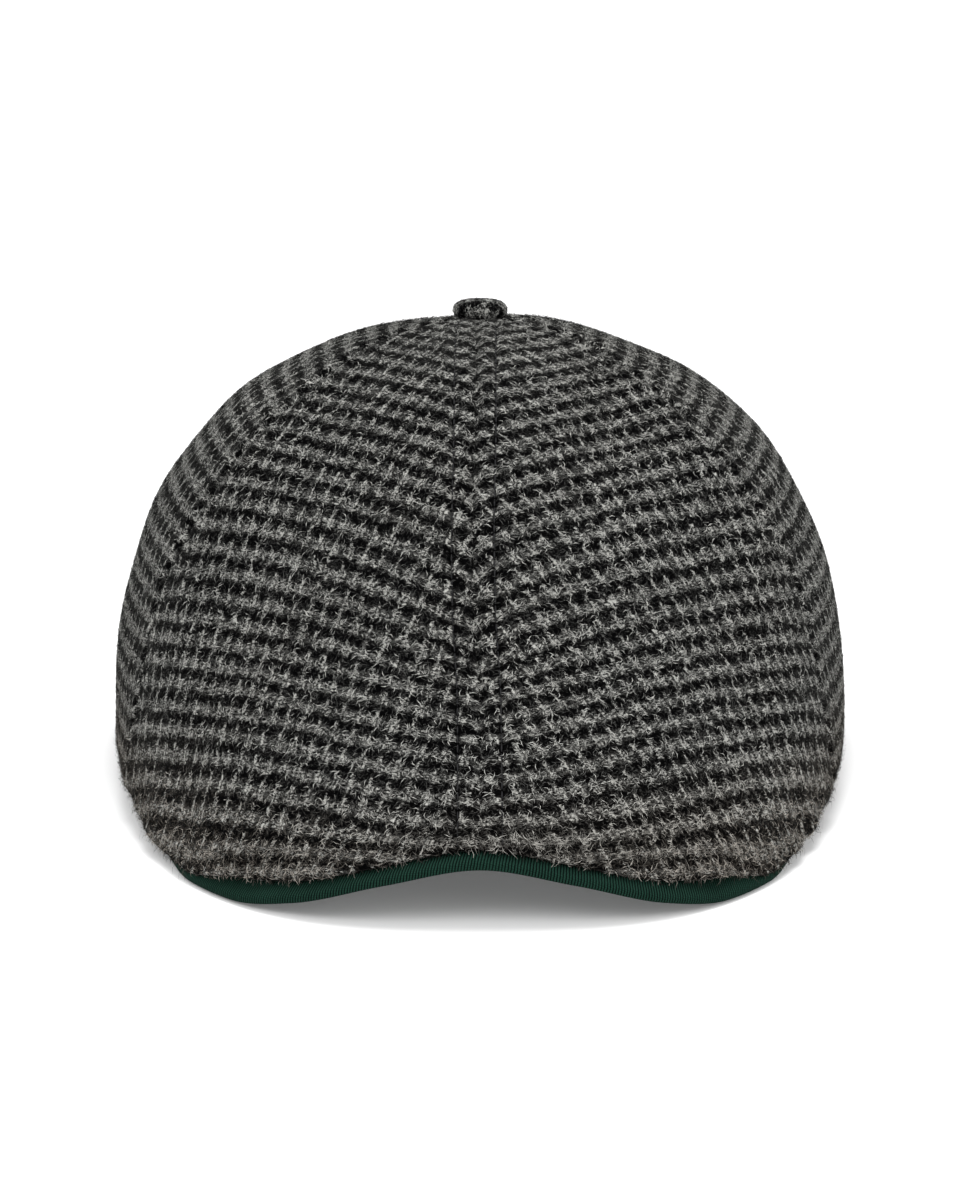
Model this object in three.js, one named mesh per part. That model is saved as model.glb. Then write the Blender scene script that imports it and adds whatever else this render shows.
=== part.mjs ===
// A six-panel duckbill cap in wool cloth, resting on a table on the low corners of its peak and on its back hem.
// Millimetres, +Z up, front towards -Y. The origin is on the table, under the middle of the cap's outline.
import * as THREE from "three";

// Driving dimensions.
const HALF_WIDTH = 95; // from the middle plane to the widest part of the crown
const FRONT_REACH = 164; // from the button's axis forward to the edge of the peak
const BACK_REACH = 103; // from the button's axis back to the hem
const CROWN_HEIGHT = 114.2; // table to the top of the cloth under the button
const TOP_TILT = 8; // degrees by which the top of the crown leans back
const CLOTH = 1.8; // thickness of the wool cloth
const GAP = 0.4; // clearance between neighbouring pieces

const PEAK_THICKNESS = 2.6;
const PEAK_END = 53; // azimuth of the pointed ends of the peak, in degrees
const BAND_THICKNESS = 1.2;
const BAND_HEIGHT = 30;
const FOREHEAD_REACH = 107; // from the button's axis to the front of the head opening
const BUTTON_RADIUS = 7;
const BUTTON_HEIGHT = 4.5;
const TIP_RADIUS = 2; // the panels' tips stop this far from the button's axis

// Azimuths of the seams from the front, in degrees, from the button (0) to the rim (1).
const SEAMS = [
  { along: 0, side: 57, back: 123 },
  { along: 0.36, side: 54, back: 121.2 },
  { along: 0.55, side: 56, back: 120.2 },
  { along: 0.72, side: 57.8, back: 119.4 },
  { along: 1, side: 52.5, back: 118 },
];

// The outline seen from above: exponents of its front and back halves, along and across.
const FRONT_CURVE = { along: 2.17, across: 3 };
const BACK_CURVE = { along: 2, across: 2 };
const OPENING_CURVE = { along: 2.5, across: 2.5 };

// Sections of the cap by azimuth from the front, in degrees, and millimetres.
// cloth: height of the cloth's end at the rim. lip: height of the peak's underside at its edge.
// angle: how steeply the cloth comes down to the rim, in degrees below level.
// topPull, rimPull: lengths of the curve's handles at the button and at the rim.
// clothBack: how far the cloth stops short of the rim. peakBack: how far the peak does.
const SECTIONS = [
  { azimuth: 0, cloth: 17.6, lip: 14.4, angle: 38, topPull: 71, rimPull: 66, clothBack: 3.6, peakBack: 0 },
  { azimuth: 8, cloth: 13.4, lip: 10.2, angle: 38, topPull: 70, rimPull: 65, clothBack: 3.7, peakBack: 0 },
  { azimuth: 16, cloth: 7.0, lip: 3.6, angle: 40, topPull: 69, rimPull: 64, clothBack: 3.9, peakBack: 0 },
  { azimuth: 23, cloth: 3.9, lip: 0.1, angle: 44, topPull: 67, rimPull: 62, clothBack: 3.9, peakBack: 0 },
  { azimuth: 29, cloth: 4.1, lip: 0.0, angle: 50, topPull: 65, rimPull: 61, clothBack: 2.4, peakBack: 0.1 },
  { azimuth: 35, cloth: 3.3, lip: 0.7, angle: 58, topPull: 63, rimPull: 61, clothBack: 0.2, peakBack: 3.0 },
  { azimuth: 41, cloth: 5.0, lip: 4.4, angle: 67, topPull: 60, rimPull: 62, clothBack: 0, peakBack: 4.2 },
  { azimuth: 54, cloth: 8.4, lip: 8.8, angle: 80, topPull: 58.5, rimPull: 67, clothBack: 0, peakBack: 4.2 },
  { azimuth: 75, cloth: 7.2, lip: 8.0, angle: 91, topPull: 57.5, rimPull: 72, clothBack: 0, peakBack: 3.6 },
  { azimuth: 90, cloth: 5.4, lip: 8.0, angle: 93, topPull: 57.5, rimPull: 72, clothBack: 0, peakBack: 3.2 },
  { azimuth: 118, cloth: 2.0, lip: 8.0, angle: 93, topPull: 57.5, rimPull: 71, clothBack: 0, peakBack: 3.2 },
  { azimuth: 142, cloth: 0.0, lip: 8.0, angle: 90, topPull: 57.5, rimPull: 70, clothBack: 0, peakBack: 3.2 },
  { azimuth: 180, cloth: 0.0, lip: 8.0, angle: 90, topPull: 57.5, rimPull: 70, clothBack: 0, peakBack: 3.2 },
];
// Lower edge of the sweatband and root of the peak, by azimuth: height above the table.
const OPENING = [
  { azimuth: 0, height: 31 },
  { azimuth: 20, height: 27 },
  { azimuth: 40, height: 16 },
  { azimuth: 58, height: 10.5 },
  { azimuth: 75, height: 8 },
  { azimuth: 90, height: 6.2 },
  { azimuth: 118, height: 3.2 },
  { azimuth: 142, height: 1.2 },
  { azimuth: 180, height: 1.2 },
];

const BUTTON_Y = (FRONT_REACH - BACK_REACH) / 2; // puts the origin midway along the cap
const radians = THREE.MathUtils.degToRad;

// A smooth curve through one column of a table, level at its first and last rows.
function column(rows, name, position, key = "azimuth") {
  const a = Math.abs(position);
  const last = rows.length - 1;
  let i = 0;
  while (i < last - 1 && a > rows[i + 1][key]) i += 1;
  const slope = (k) => {
    if (k === 0 || k === last) return 0;
    const before = (rows[k][name] - rows[k - 1][name]) / (rows[k][key] - rows[k - 1][key]);
    const after = (rows[k + 1][name] - rows[k][name]) / (rows[k + 1][key] - rows[k][key]);
    return before * after <= 0 ? 0 : (2 * before * after) / (before + after);
  };
  const [low, high] = [rows[i], rows[i + 1]];
  const span = high[key] - low[key];
  const s = Math.min(1, (a - low[key]) / span);
  const [s2, s3] = [s * s, s * s * s];
  return (
    low[name] * (2 * s3 - 3 * s2 + 1) +
    slope(i) * span * (s3 - 2 * s2 + s) +
    high[name] * (3 * s2 - 2 * s3) +
    slope(i + 1) * span * (s3 - s2)
  );
}

// Distance from the button's axis to an outline seen from above.
function reach(azimuth, length, width, curve) {
  const along = Math.abs(Math.cos(radians(azimuth))) / length;
  const across = Math.abs(Math.sin(radians(azimuth))) / width;
  let [low, high] = [0, 2 * Math.max(length, width)];
  for (let i = 0; i < 40; i += 1) {
    const r = (low + high) / 2;
    if ((r * along) ** curve.along + (r * across) ** curve.across < 1) low = r;
    else high = r;
  }
  return low;
}

const isFront = (azimuth) => Math.abs(azimuth) < 90;

function rimReach(azimuth) {
  return isFront(azimuth)
    ? reach(azimuth, FRONT_REACH, HALF_WIDTH, FRONT_CURVE)
    : reach(azimuth, BACK_REACH, HALF_WIDTH, BACK_CURVE);
}

// A point at a distance from the button's axis, at a height, in the cap's frame.
function place(azimuth, distance, height) {
  const a = radians(azimuth);
  return new THREE.Vector3(distance * Math.sin(a), BUTTON_Y - distance * Math.cos(a), height);
}

// The curve of the cloth's outer face from the button (0) to the rim (1), in the upright plane at an azimuth.
function meridian(azimuth) {
  const value = (name) => column(SECTIONS, name, azimuth);
  const [top, down] = [radians(TOP_TILT * Math.cos(radians(azimuth))), radians(value("angle"))];
  const [rim, height] = [rimReach(azimuth), value("cloth")];
  const [topPull, rimPull] = [value("topPull"), value("rimPull")];
  return new THREE.CubicBezierCurve(
    new THREE.Vector2(0, CROWN_HEIGHT),
    new THREE.Vector2(topPull * Math.cos(top), CROWN_HEIGHT + topPull * Math.sin(top)),
    new THREE.Vector2(rim - rimPull * Math.cos(down), height + rimPull * Math.sin(down)),
    new THREE.Vector2(rim, height),
  );
}

function crownPoint(azimuth, t) {
  const p = meridian(azimuth).getPoint(t);
  return place(azimuth, p.x, p.y);
}

function crownNormal(azimuth, t) {
  const [da, dt] = [0.5, 0.002];
  const along = crownPoint(azimuth, t + dt).sub(crownPoint(azimuth, t - dt));
  const across = crownPoint(azimuth + da, t).sub(crownPoint(azimuth - da, t));
  return across.cross(along).negate().normalize();
}

// A point of the crown's cloth at a depth below its outer face.
function clothPoint(azimuth, t, depth) {
  return crownPoint(azimuth, t).addScaledVector(crownNormal(azimuth, t), -depth);
}

// Where the cloth's edge lies along its meridian.
function clothEnd(azimuth) {
  const curve = meridian(azimuth);
  const tangent = curve.getTangent(1);
  const rimSpeed = 3 * curve.v3.distanceTo(curve.v2);
  return tangent.x > -1 ? 1 - column(SECTIONS, "clothBack", azimuth) / rimSpeed : 1;
}

// A closed solid from rows of closed sections, each a ring of the same number of points.
function loft(sections) {
  const [rows, ring] = [sections.length, sections[0].length];
  const points = sections.flat();
  const index = [];
  for (let i = 0; i < rows - 1; i += 1) {
    for (let j = 0; j < ring; j += 1) {
      const k = (j + 1) % ring;
      const [a, b, c, d] = [i * ring + j, i * ring + k, (i + 1) * ring + k, (i + 1) * ring + j];
      index.push(a, b, c, a, c, d);
    }
  }
  for (const [row, turn] of [[0, false], [rows - 1, true]]) {
    const flat = capTriangles(sections[row]);
    for (const [a, b, c] of flat) {
      const base = row * ring;
      index.push(...(turn ? [base + a, base + b, base + c] : [base + a, base + c, base + b]));
    }
  }
  return solid(points, index);
}

// Triangles across a strip-like section: its first half and its second half run side by side.
function capTriangles(section) {
  const n = section.length;
  const made = [];
  let [left, right] = [0, n - 1];
  while (right - left > 1) {
    made.push([left, left + 1, right]);
    left += 1;
    if (right - left > 1) {
      made.push([left, right - 1, right]);
      right -= 1;
    }
  }
  return made;
}

function solid(points, index) {
  const geometry = new THREE.BufferGeometry();
  const flat = points.flatMap((p) => [p.x, p.y, p.z]);
  geometry.setAttribute("position", new THREE.BufferAttribute(new Float32Array(flat), 3));
  geometry.setIndex(index);
  if (volume(points, index) < 0) {
    for (let i = 0; i < index.length; i += 3) [index[i], index[i + 1]] = [index[i + 1], index[i]];
    geometry.setIndex(index);
  }
  geometry.computeVertexNormals();
  return geometry;
}

function volume(points, index) {
  let sum = 0;
  for (let i = 0; i < index.length; i += 3) {
    const [a, b, c] = [points[index[i]], points[index[i + 1]], points[index[i + 2]]];
    sum += a.dot(new THREE.Vector3().crossVectors(b, c)) / 6;
  }
  return sum;
}

const steps = (from, to, count) =>
  Array.from({ length: count + 1 }, (_, i) => from + ((to - from) * i) / count);

// One gore of the crown between two seams, from its tip under the button to its lower edge.
function panelGeometry(fromSeam, toSeam, across, along) {
  const columns = steps(0, 1, across);
  const ringAt = (s) => {
    const [from, to] = [fromSeam(s), toSeam(s)];
    const face = (depth) =>
      columns.map((u) => {
        // The seam gap has the same width all the way, so its angle shrinks away from the button.
        const middle = from + (to - from) * u;
        const t = TIP_START + (clothEnd(middle) - TIP_START) * s;
        const inset = THREE.MathUtils.radToDeg(Math.asin(GAP / 2 / meridian(middle).getPoint(t).x));
        return clothPoint(from + inset + (to - from - 2 * inset) * u, t, depth);
      });
    return [...face(0), ...face(CLOTH).reverse()];
  };
  return loft(steps(0, 1, along).map((s) => ringAt(s ** ROW_SPREAD)));
}
const TIP_START = TIP_RADIUS / (3 * 60); // curve parameter of the tips: three handle lengths per unit
const ROW_SPREAD = 0.85; // rows lie a little closer together at the rim

// The opening's outline seen from above: the outer face of the sweatband at its lower edge.
function openingReach(azimuth) {
  const sideReach = HALF_WIDTH - CLOTH - GAP;
  const backReach = BACK_REACH - CLOTH - GAP;
  return isFront(azimuth)
    ? reach(azimuth, FOREHEAD_REACH, sideReach, OPENING_CURVE)
    : reach(azimuth, backReach, sideReach, BACK_CURVE);
}

const openingHeight = (azimuth) => column(OPENING, "height", azimuth);

// Distance from the axis to the cloth's inner face at a height.
function innerReach(azimuth, height) {
  let [low, high] = [0.3, 1];
  for (let i = 0; i < 30; i += 1) {
    const t = (low + high) / 2;
    if (clothPoint(azimuth, t, CLOTH).z > height) low = t;
    else high = t;
  }
  const p = clothPoint(azimuth, low, CLOTH);
  return Math.hypot(p.x, p.y - BUTTON_Y);
}

function bandGeometry(around, up) {
  const ringAt = (azimuth) => {
    const bottom = openingHeight(azimuth);
    const face = (depth) =>
      steps(0, 1, up).map((s) => {
        const height = bottom + BAND_HEIGHT * s;
        const outer = Math.min(openingReach(azimuth), innerReach(azimuth, height) - BAND_EASE);
        return place(azimuth, outer - depth, height);
      });
    return [...face(0), ...face(BAND_THICKNESS).reverse()];
  };
  const rings = steps(0, 360, around).slice(0, -1).map((a) => ringAt(a > 180 ? a - 360 : a));
  return closedLoft(rings);
}
const BAND_EASE = 0.6; // the band stands this far off the crown's inner face

// A ring-shaped solid from sections that come back to the first.
function closedLoft(sections) {
  const [rows, ring] = [sections.length, sections[0].length];
  const index = [];
  for (let i = 0; i < rows; i += 1) {
    const next = (i + 1) % rows;
    for (let j = 0; j < ring; j += 1) {
      const k = (j + 1) % ring;
      const [a, b, c, d] = [i * ring + j, i * ring + k, next * ring + k, next * ring + j];
      index.push(a, b, c, a, c, d);
    }
  }
  return solid(sections.flat(), index);
}

// The peak: a stiff crescent from the forehead to its rounded edge, covered in twill.
function peakGeometry(around, along, nose) {
  const ringAt = (azimuth) => {
    const radius = PEAK_THICKNESS / 2;
    const tip = new THREE.Vector2(
      rimReach(azimuth) - column(SECTIONS, "peakBack", azimuth) - radius,
      column(SECTIONS, "lip", azimuth) + radius,
    );
    const root = new THREE.Vector2(
      openingReach(azimuth) + PEAK_EASE + radius,
      openingHeight(azimuth) + radius,
    );
    const slope = Math.atan2(root.y - tip.y, tip.x - root.x);
    const normal = new THREE.Vector2(Math.sin(slope), Math.cos(slope));
    const side = (sign) =>
      steps(0, 1, along).map((s) => root.clone().lerp(tip, s).addScaledVector(normal, sign * radius));
    const round = steps(90, -90, nose)
      .slice(1, -1)
      .map((a) => {
        const turn = radians(a) - slope;
        return new THREE.Vector2(tip.x + radius * Math.cos(turn), tip.y + radius * Math.sin(turn));
      });
    const outline = [...side(1), ...round, ...side(-1).reverse()];
    return outline.map((p) => place(azimuth, p.x, p.y));
  };
  return loft(steps(-PEAK_END, PEAK_END, around).map(ringAt));
}
const PEAK_EASE = 0.6; // clearance between the peak's root and the sweatband

// The cloth-covered button: a low dome with a rolled edge, on a flat underside.
function buttonGeometry() {
  const roll = BUTTON_HEIGHT * 0.42;
  const profile = [
    new THREE.Vector2(0, 0),
    new THREE.Vector2(BUTTON_RADIUS * 0.82, 0),
    new THREE.Vector2(BUTTON_RADIUS, roll),
    new THREE.Vector2(BUTTON_RADIUS * 0.88, BUTTON_HEIGHT * 0.8),
    new THREE.Vector2(BUTTON_RADIUS * 0.5, BUTTON_HEIGHT * 0.98),
    new THREE.Vector2(0, BUTTON_HEIGHT),
  ];
  const smooth = new THREE.SplineCurve(profile).getPoints(10);
  smooth[0].x = 0;
  smooth[smooth.length - 1].x = 0;
  return new THREE.LatheGeometry(smooth, 24).rotateX(Math.PI / 2);
}

const wool = new THREE.MeshStandardMaterial({ color: 0x4a4a48, roughness: 0.95, metalness: 0 });
const twill = new THREE.MeshStandardMaterial({ color: 0x12392c, roughness: 0.85, metalness: 0 });
const band = new THREE.MeshStandardMaterial({ color: 0x1b1c1e, roughness: 0.9, metalness: 0 });

function mesh(name, geometry, material) {
  const made = new THREE.Mesh(geometry, material);
  made.name = name;
  return made;
}

const frontSeam = () => 0;
const backMiddle = () => 180;
const seam = (name) => (along) => column(SEAMS, name, along, "along");
const mirrored = (line) => (along) => -line(along);

const PANELS = [
  { name: "front_panel", from: frontSeam, to: seam("side"), across: 14, along: 22 },
  { name: "side_panel", from: seam("side"), to: seam("back"), across: 11, along: 15 },
  { name: "back_panel", from: seam("back"), to: backMiddle, across: 11, along: 15 },
];

const cap = new THREE.Group();
for (const { name, from, to, across, along } of PANELS) {
  cap.add(mesh(`${name}_left`, panelGeometry(mirrored(to), mirrored(from), across, along), wool));
  cap.add(mesh(`${name}_right`, panelGeometry(from, to, across, along), wool));
}
cap.add(mesh("peak", peakGeometry(36, 4, 5), twill));
cap.add(mesh("sweatband", bandGeometry(60, 3), band));

const button = mesh("top_button", buttonGeometry(), wool);
button.position.set(0, BUTTON_Y, CROWN_HEIGHT + GAP);
button.rotation.x = -radians(TOP_TILT);
cap.add(button);

export default cap;
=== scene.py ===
"""A duckbill cap in banded wool tweed, with a covered button and a green twill edge, on a table."""

import functools
import math

import bpy
import numpy as np
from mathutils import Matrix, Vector


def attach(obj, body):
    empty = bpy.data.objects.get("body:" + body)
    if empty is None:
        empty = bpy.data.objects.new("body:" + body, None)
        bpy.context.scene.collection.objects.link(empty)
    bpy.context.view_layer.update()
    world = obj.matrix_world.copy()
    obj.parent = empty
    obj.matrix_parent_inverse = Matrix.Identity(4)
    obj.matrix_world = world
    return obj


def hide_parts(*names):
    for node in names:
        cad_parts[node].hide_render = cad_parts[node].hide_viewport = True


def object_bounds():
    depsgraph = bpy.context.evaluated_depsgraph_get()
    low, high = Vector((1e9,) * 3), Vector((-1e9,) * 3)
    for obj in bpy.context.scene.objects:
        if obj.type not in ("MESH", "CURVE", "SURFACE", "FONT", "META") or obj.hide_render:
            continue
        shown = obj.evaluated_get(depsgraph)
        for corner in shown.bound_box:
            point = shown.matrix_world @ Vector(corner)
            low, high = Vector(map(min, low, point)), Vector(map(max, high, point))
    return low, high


bl_info = {
    "name": "Duckbill cap",
    "version": (1, 0, 0),
    "blender": (4, 5, 0),
    "location": "3D View > Sidebar > Cap",
    "description": "Builds a six-panel wool cap on a table",
    "category": "Object",
}

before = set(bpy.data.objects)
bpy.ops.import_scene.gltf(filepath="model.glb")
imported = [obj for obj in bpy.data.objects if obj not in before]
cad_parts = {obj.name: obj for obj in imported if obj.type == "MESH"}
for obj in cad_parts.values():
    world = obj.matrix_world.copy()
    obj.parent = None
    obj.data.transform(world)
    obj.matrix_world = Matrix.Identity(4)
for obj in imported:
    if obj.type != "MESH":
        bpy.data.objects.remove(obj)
CAD_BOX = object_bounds()

# ---------------------------------------------------------------- shape of the crown, in millimetres

MM = 0.001
HALF_WIDTH = 95.0  # middle plane to the widest part of the crown
FRONT_REACH = 164.0  # button's axis forward to the edge of the peak
BACK_REACH = 103.0  # button's axis back to the hem
FOREHEAD_REACH = 107.0  # button's axis to the front of the head opening
CROWN_HEIGHT = 114.2  # table to the top of the cloth under the button
TOP_TILT = 8.0  # degrees by which the top of the crown leans back
CLOTH = 1.8  # thickness of the wool cloth
BUTTON_Y = (FRONT_REACH - BACK_REACH) / 2

# Outlines seen from above: exponents along and across.
FRONT_CURVE = (2.17, 3.0)
BACK_CURVE = (2.0, 2.0)
OPENING_CURVE = (2.5, 2.5)

# Sections of the cap by azimuth from the front, in degrees, and millimetres.
# cloth: height of the cloth's end at the rim. lip: height of the peak's underside at its edge.
# angle: how steeply the cloth comes down to the rim. top_pull, rim_pull: lengths of the curve's handles.
# cloth_back, peak_back: how far the cloth and the peak stop short of the rim.
# These are the CAD part's own sections, but for the peak's low corners and the cloth over them, which sit
# up to 1.3 mm higher.
SECTION_COLUMNS = ("azimuth", "cloth", "lip", "angle", "top_pull", "rim_pull", "cloth_back", "peak_back")
SECTIONS = (
    (0, 17.6, 14.4, 38, 71, 66, 3.6, 0),
    (8, 13.4, 10.2, 38, 70, 65, 3.7, 0),
    (16, 7.4, 3.8, 40, 69, 64, 3.9, 0),
    (23, 5.2, 0.6, 44, 67, 62, 3.9, 0),
    (29, 4.8, 0.5, 50, 65, 61, 2.4, 0.1),
    (35, 3.5, 0.9, 58, 63, 61, 0.2, 3.0),
    (41, 5.0, 4.4, 67, 60, 62, 0, 4.2),
    (54, 8.4, 8.8, 80, 58.5, 67, 0, 4.2),
    (75, 7.2, 8.0, 91, 57.5, 72, 0, 3.6),
    (90, 5.4, 8.0, 93, 57.5, 72, 0, 3.2),
    (118, 2.0, 8.0, 93, 57.5, 71, 0, 3.2),
    (142, 0.0, 8.0, 90, 57.5, 70, 0, 3.2),
    (180, 0.0, 8.0, 90, 57.5, 70, 0, 3.2),
)
# Seams by distance from the button (0) to the rim (1): azimuths of the side seam and the back seam.
SEAM_COLUMNS = ("along", "side", "back")
SEAMS = ((0, 57, 123), (0.36, 54, 121.2), (0.55, 56, 120.2), (0.72, 57.8, 119.4), (1, 52.5, 118))
# The middle seam at the front by distance from the button (0) to the rim (1): how far to the right it lies.
MIDDLE_SEAM_COLUMNS = ("along", "aside")
MIDDLE_SEAM = ((0, -1.2), (0.33, -1.25), (0.55, -1.8), (0.66, -1.5), (0.8, -0.2), (1, 0))
MIDDLE_SEAM_REACH = 50.0  # azimuth to which the front panels are drawn aside with it
# Lower edge of the head opening by azimuth: height above the table.
OPENING_COLUMNS = ("azimuth", "height")
OPENING = ((0, 31), (20, 27), (40, 16), (58, 10.5), (75, 8), (90, 6.2), (118, 3.2), (142, 1.2), (180, 1.2))

PEAK_THICKNESS = 2.6
PEAK_END = 53.0
PEAK_EASE = 0.6
BAND_THICKNESS = 1.2
BAND_HEIGHT = 30.0
BAND_EASE = 0.6
TIP_START = 2 / 180  # where the panels' tips begin under the button
ROW_SPREAD = 0.85  # rows lie a little closer together at the rim
SEAM_GAP = 0.01  # half the gap left in a sewn seam
ABOVE_TABLE = 0.05  # no cloth reaches lower than this
PEAK_ABOVE_TABLE = 0.02

# How each kind of panel lies between its seams, and how its cloth is turned and eased.
# grain: degrees by which the bands of the cloth rise away from the seam nearest the front.
PANELS = {
    "front": {"lines": (0, 1), "rows": 112, "plain": 34, "grain": 11.5, "stitched": "first"},
    "side": {"lines": (1, 2), "rows": 92, "plain": 34, "grain": 0.0, "stitched": None},
    "back": {"lines": (2, 3), "rows": 92, "plain": 32, "grain": 0.0, "stitched": "last"},
}
# Distances from a seam, in millimetres, at which a panel's mesh has columns of points.
BY_SEAM = (0, 0.4, 0.9, 1.5, 2.3, 3.3)
BY_STITCHES = (0, 0.4, 0.9, 1.5, 2.4, 3.5, 4.4, 4.9, 5.25, 5.5, 5.7, 5.9, 6.15, 6.5, 7.1, 7.9, 8.9)

# Distances down from the button, in millimetres, between which the cloth of the front begins to change.
STRETCHED = (84, 98)
RELEASED = (112, 126)
SHRUNK = (122, 150)
LEVELLED = (125, 185)
CREPT = (66, 90)
STRETCH = 0.10  # up the cloth for each millimetre down
SHRINKING = 0.21
CREEP = 0.148  # sideways for each millimetre down
LEVELLING = 0.42
LEVELLED_ACROSS = 40.0  # how far from the middle seam the bands are eased level

SIDES = (("left", -1), ("right", 1))
# Where each panel was cut from one long cloth, so that no two have the same flaws.
CUT_APART = 485.0
PANEL_ORDER = [(kind, side) for kind in PANELS for _, side in SIDES]
CUT_FROM = {key: np.array([CUT_APART * number, 0.0]) for number, key in enumerate(PANEL_ORDER)}

# How the cloth lies, in millimetres.
SEAM_WIDTH = 1.3
ROLL = (2.6, 1.5)  # where the cloth rolls up beside a seam, and how wide
ROLL_HEIGHT = 0.35
# Heights, places and widths of the channel that stitches pull in and of the rolls on its two sides.
STITCH_RELIEF = ((-0.7, 0, 0.45), (0.25, 1.6, 1.2), (0.15, -1.6, 1.2))
STITCH_SHADE_REACH = 0.48  # how far from the stitches the cloth's colour is darkened as painted shade
BARE_REACH = 1.7  # how far from them fibres are thinner
SWELL = 0.5  # soft unevenness of a panel, and the length of its waves
SWELL_LENGTH = 42.0
GATHERS = {"front": 0.75, "side": 0.3, "back": 0.3}  # gathers along the lower edge
GATHER_LENGTH = 15.0
GATHER_REACH = 14.0
NARROW = 16.0  # a panel narrower than this lies flatter
PULLED_UP = 0.8  # the cloth's edge is turned in by this much
# How fully the front's edge is drawn over the peak's twill, by azimuth.
DRAWN_OVER = ((0, 14, 23, 29, 32, 36), (0.12, 0.12, 0.25, 1, 1, 0))
INSIDE = (0, BUTTON_Y, 30)  # a point inside the crown

# Fibres on the front's hem, and on the button, where they differ from the panels' own.
PANEL_LIFT = 0.15
HEM_ROWS = 9
HEM_FIBRES = {"density": 1.6e6, "lift": 0.35, "length": 0.0027, "width": 0.00010}
BUTTON_FIBRES = {"lift": 0.0, "length": 0.0010}
BUTTON_DENSITY = 1.8  # of the panels' own

BUTTON_RADIUS = 7.0
BUTTON_HEIGHT = 5.0
BUTTON_SINK = 0.2  # how far the button is pressed into the cloth under it
BUTTON_CUT = (3.6, 5.9)  # where the middle of its cover was cut from the cloth
# The button's profile, from its underside to its top: parts of its radius and of its height.
BUTTON_PROFILE = (
    (0.30, 0.0),
    (0.80, 0.0),
    (0.91, 0.10),
    (0.97, 0.24),
    (1.00, 0.38),
    (0.99, 0.52),
    (0.955, 0.64),
    (0.89, 0.75),
    (0.79, 0.845),
    (0.65, 0.915),
    (0.48, 0.965),
    (0.28, 0.99),
    (0.08, 1.0),
)

# ---------------------------------------------------------------- the stage, in metres

TABLE_HALF = 6.0
TABLE_GLOW = 0.12  # the table is a lit one, so that hardly any shadow spreads over it
ROOM_LIGHT = 0.80
AIMED_AT = (0, 0, 0.05)
# Name, diameter, watts and place of each round light.
LIGHTS = (
    ("key", 1.6, 20.0, (-0.9, -1.6, 1.9)),
    ("fill", 1.6, 12.0, (1.4, -1.5, 1.2)),
    ("top", 1.4, 32.0, (0.1, 0.25, 2.35)),
)
CAMERA_LENS = 175.2
CAMERA_ELEVATION = 14.0  # degrees above the table
CAMERA_DISTANCE = 1.5
CAMERA_DROP = 0.0135  # how far below the cap's middle the camera looks

# ---------------------------------------------------------------- curves and outlines


def column(rows, names, name, where):
    """A smooth curve through one column of a table, level at its first and last rows."""
    table = np.array(rows, float)
    x, y = table[:, 0], table[:, names.index(name)]
    step = np.diff(x)
    rise = np.diff(y) / step
    slope = np.zeros(len(x))
    both, total = rise[:-1] * rise[1:], rise[:-1] + rise[1:]
    slope[1:-1] = np.where(both > 0, 2 * both / np.where(both > 0, total, 1), 0)
    a = np.clip(np.abs(where), x[0], x[-1])
    i = np.clip(np.searchsorted(x, a) - 1, 0, len(x) - 2)
    s = (a - x[i]) / step[i]
    return (
        y[i] * (2 * s**3 - 3 * s**2 + 1)
        + slope[i] * step[i] * (s**3 - 2 * s**2 + s)
        + y[i + 1] * (3 * s**2 - 2 * s**3)
        + slope[i + 1] * step[i] * (s**3 - s**2)
    )


def section(name, azimuth):
    return column(SECTIONS, SECTION_COLUMNS, name, azimuth)


def reach(azimuth, length, width, curve):
    """Distance from the button's axis to an outline seen from above."""
    a = np.radians(azimuth)
    along, across = np.abs(np.cos(a)) / length, np.abs(np.sin(a)) / width
    low, high = np.zeros_like(a), np.full_like(a, 2 * max(length, width))
    for _ in range(40):
        r = (low + high) / 2
        inside = (r * along) ** curve[0] + (r * across) ** curve[1] < 1
        low, high = np.where(inside, r, low), np.where(inside, high, r)
    return low


def rim_reach(azimuth):
    front = reach(azimuth, FRONT_REACH, HALF_WIDTH, FRONT_CURVE)
    back = reach(azimuth, BACK_REACH, HALF_WIDTH, BACK_CURVE)
    return np.where(np.abs(azimuth) < 90, front, back)


def opening_reach(azimuth):
    side, back = HALF_WIDTH - CLOTH - 0.4, BACK_REACH - CLOTH - 0.4
    in_front = reach(azimuth, FOREHEAD_REACH, side, OPENING_CURVE)
    return np.where(np.abs(azimuth) < 90, in_front, reach(azimuth, back, side, BACK_CURVE))


def place(azimuth, distance, height):
    a = np.radians(azimuth)
    return np.stack([distance * np.sin(a), BUTTON_Y - distance * np.cos(a), height + 0 * a], -1)


def crown_point(azimuth, t):
    """A point of the cloth's outer face, from the button (t 0) to the rim (t 1), at an azimuth."""
    azimuth, t = np.broadcast_arrays(np.asarray(azimuth, float), np.asarray(t, float))
    top = np.radians(TOP_TILT * np.cos(np.radians(azimuth)))
    down = np.radians(section("angle", azimuth))
    rim, height = rim_reach(azimuth), section("cloth", azimuth)
    top_pull, rim_pull = section("top_pull", azimuth), section("rim_pull", azimuth)
    b0, b1, b2, b3 = (1 - t) ** 3, 3 * (1 - t) ** 2 * t, 3 * (1 - t) * t**2, t**3
    distance = b1 * top_pull * np.cos(top) + b2 * (rim - rim_pull * np.cos(down)) + b3 * rim
    z = (
        b0 * CROWN_HEIGHT
        + b1 * (CROWN_HEIGHT + top_pull * np.sin(top))
        + b2 * (height + rim_pull * np.sin(down))
        + b3 * height
    )
    return place(azimuth, distance, z)


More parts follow.
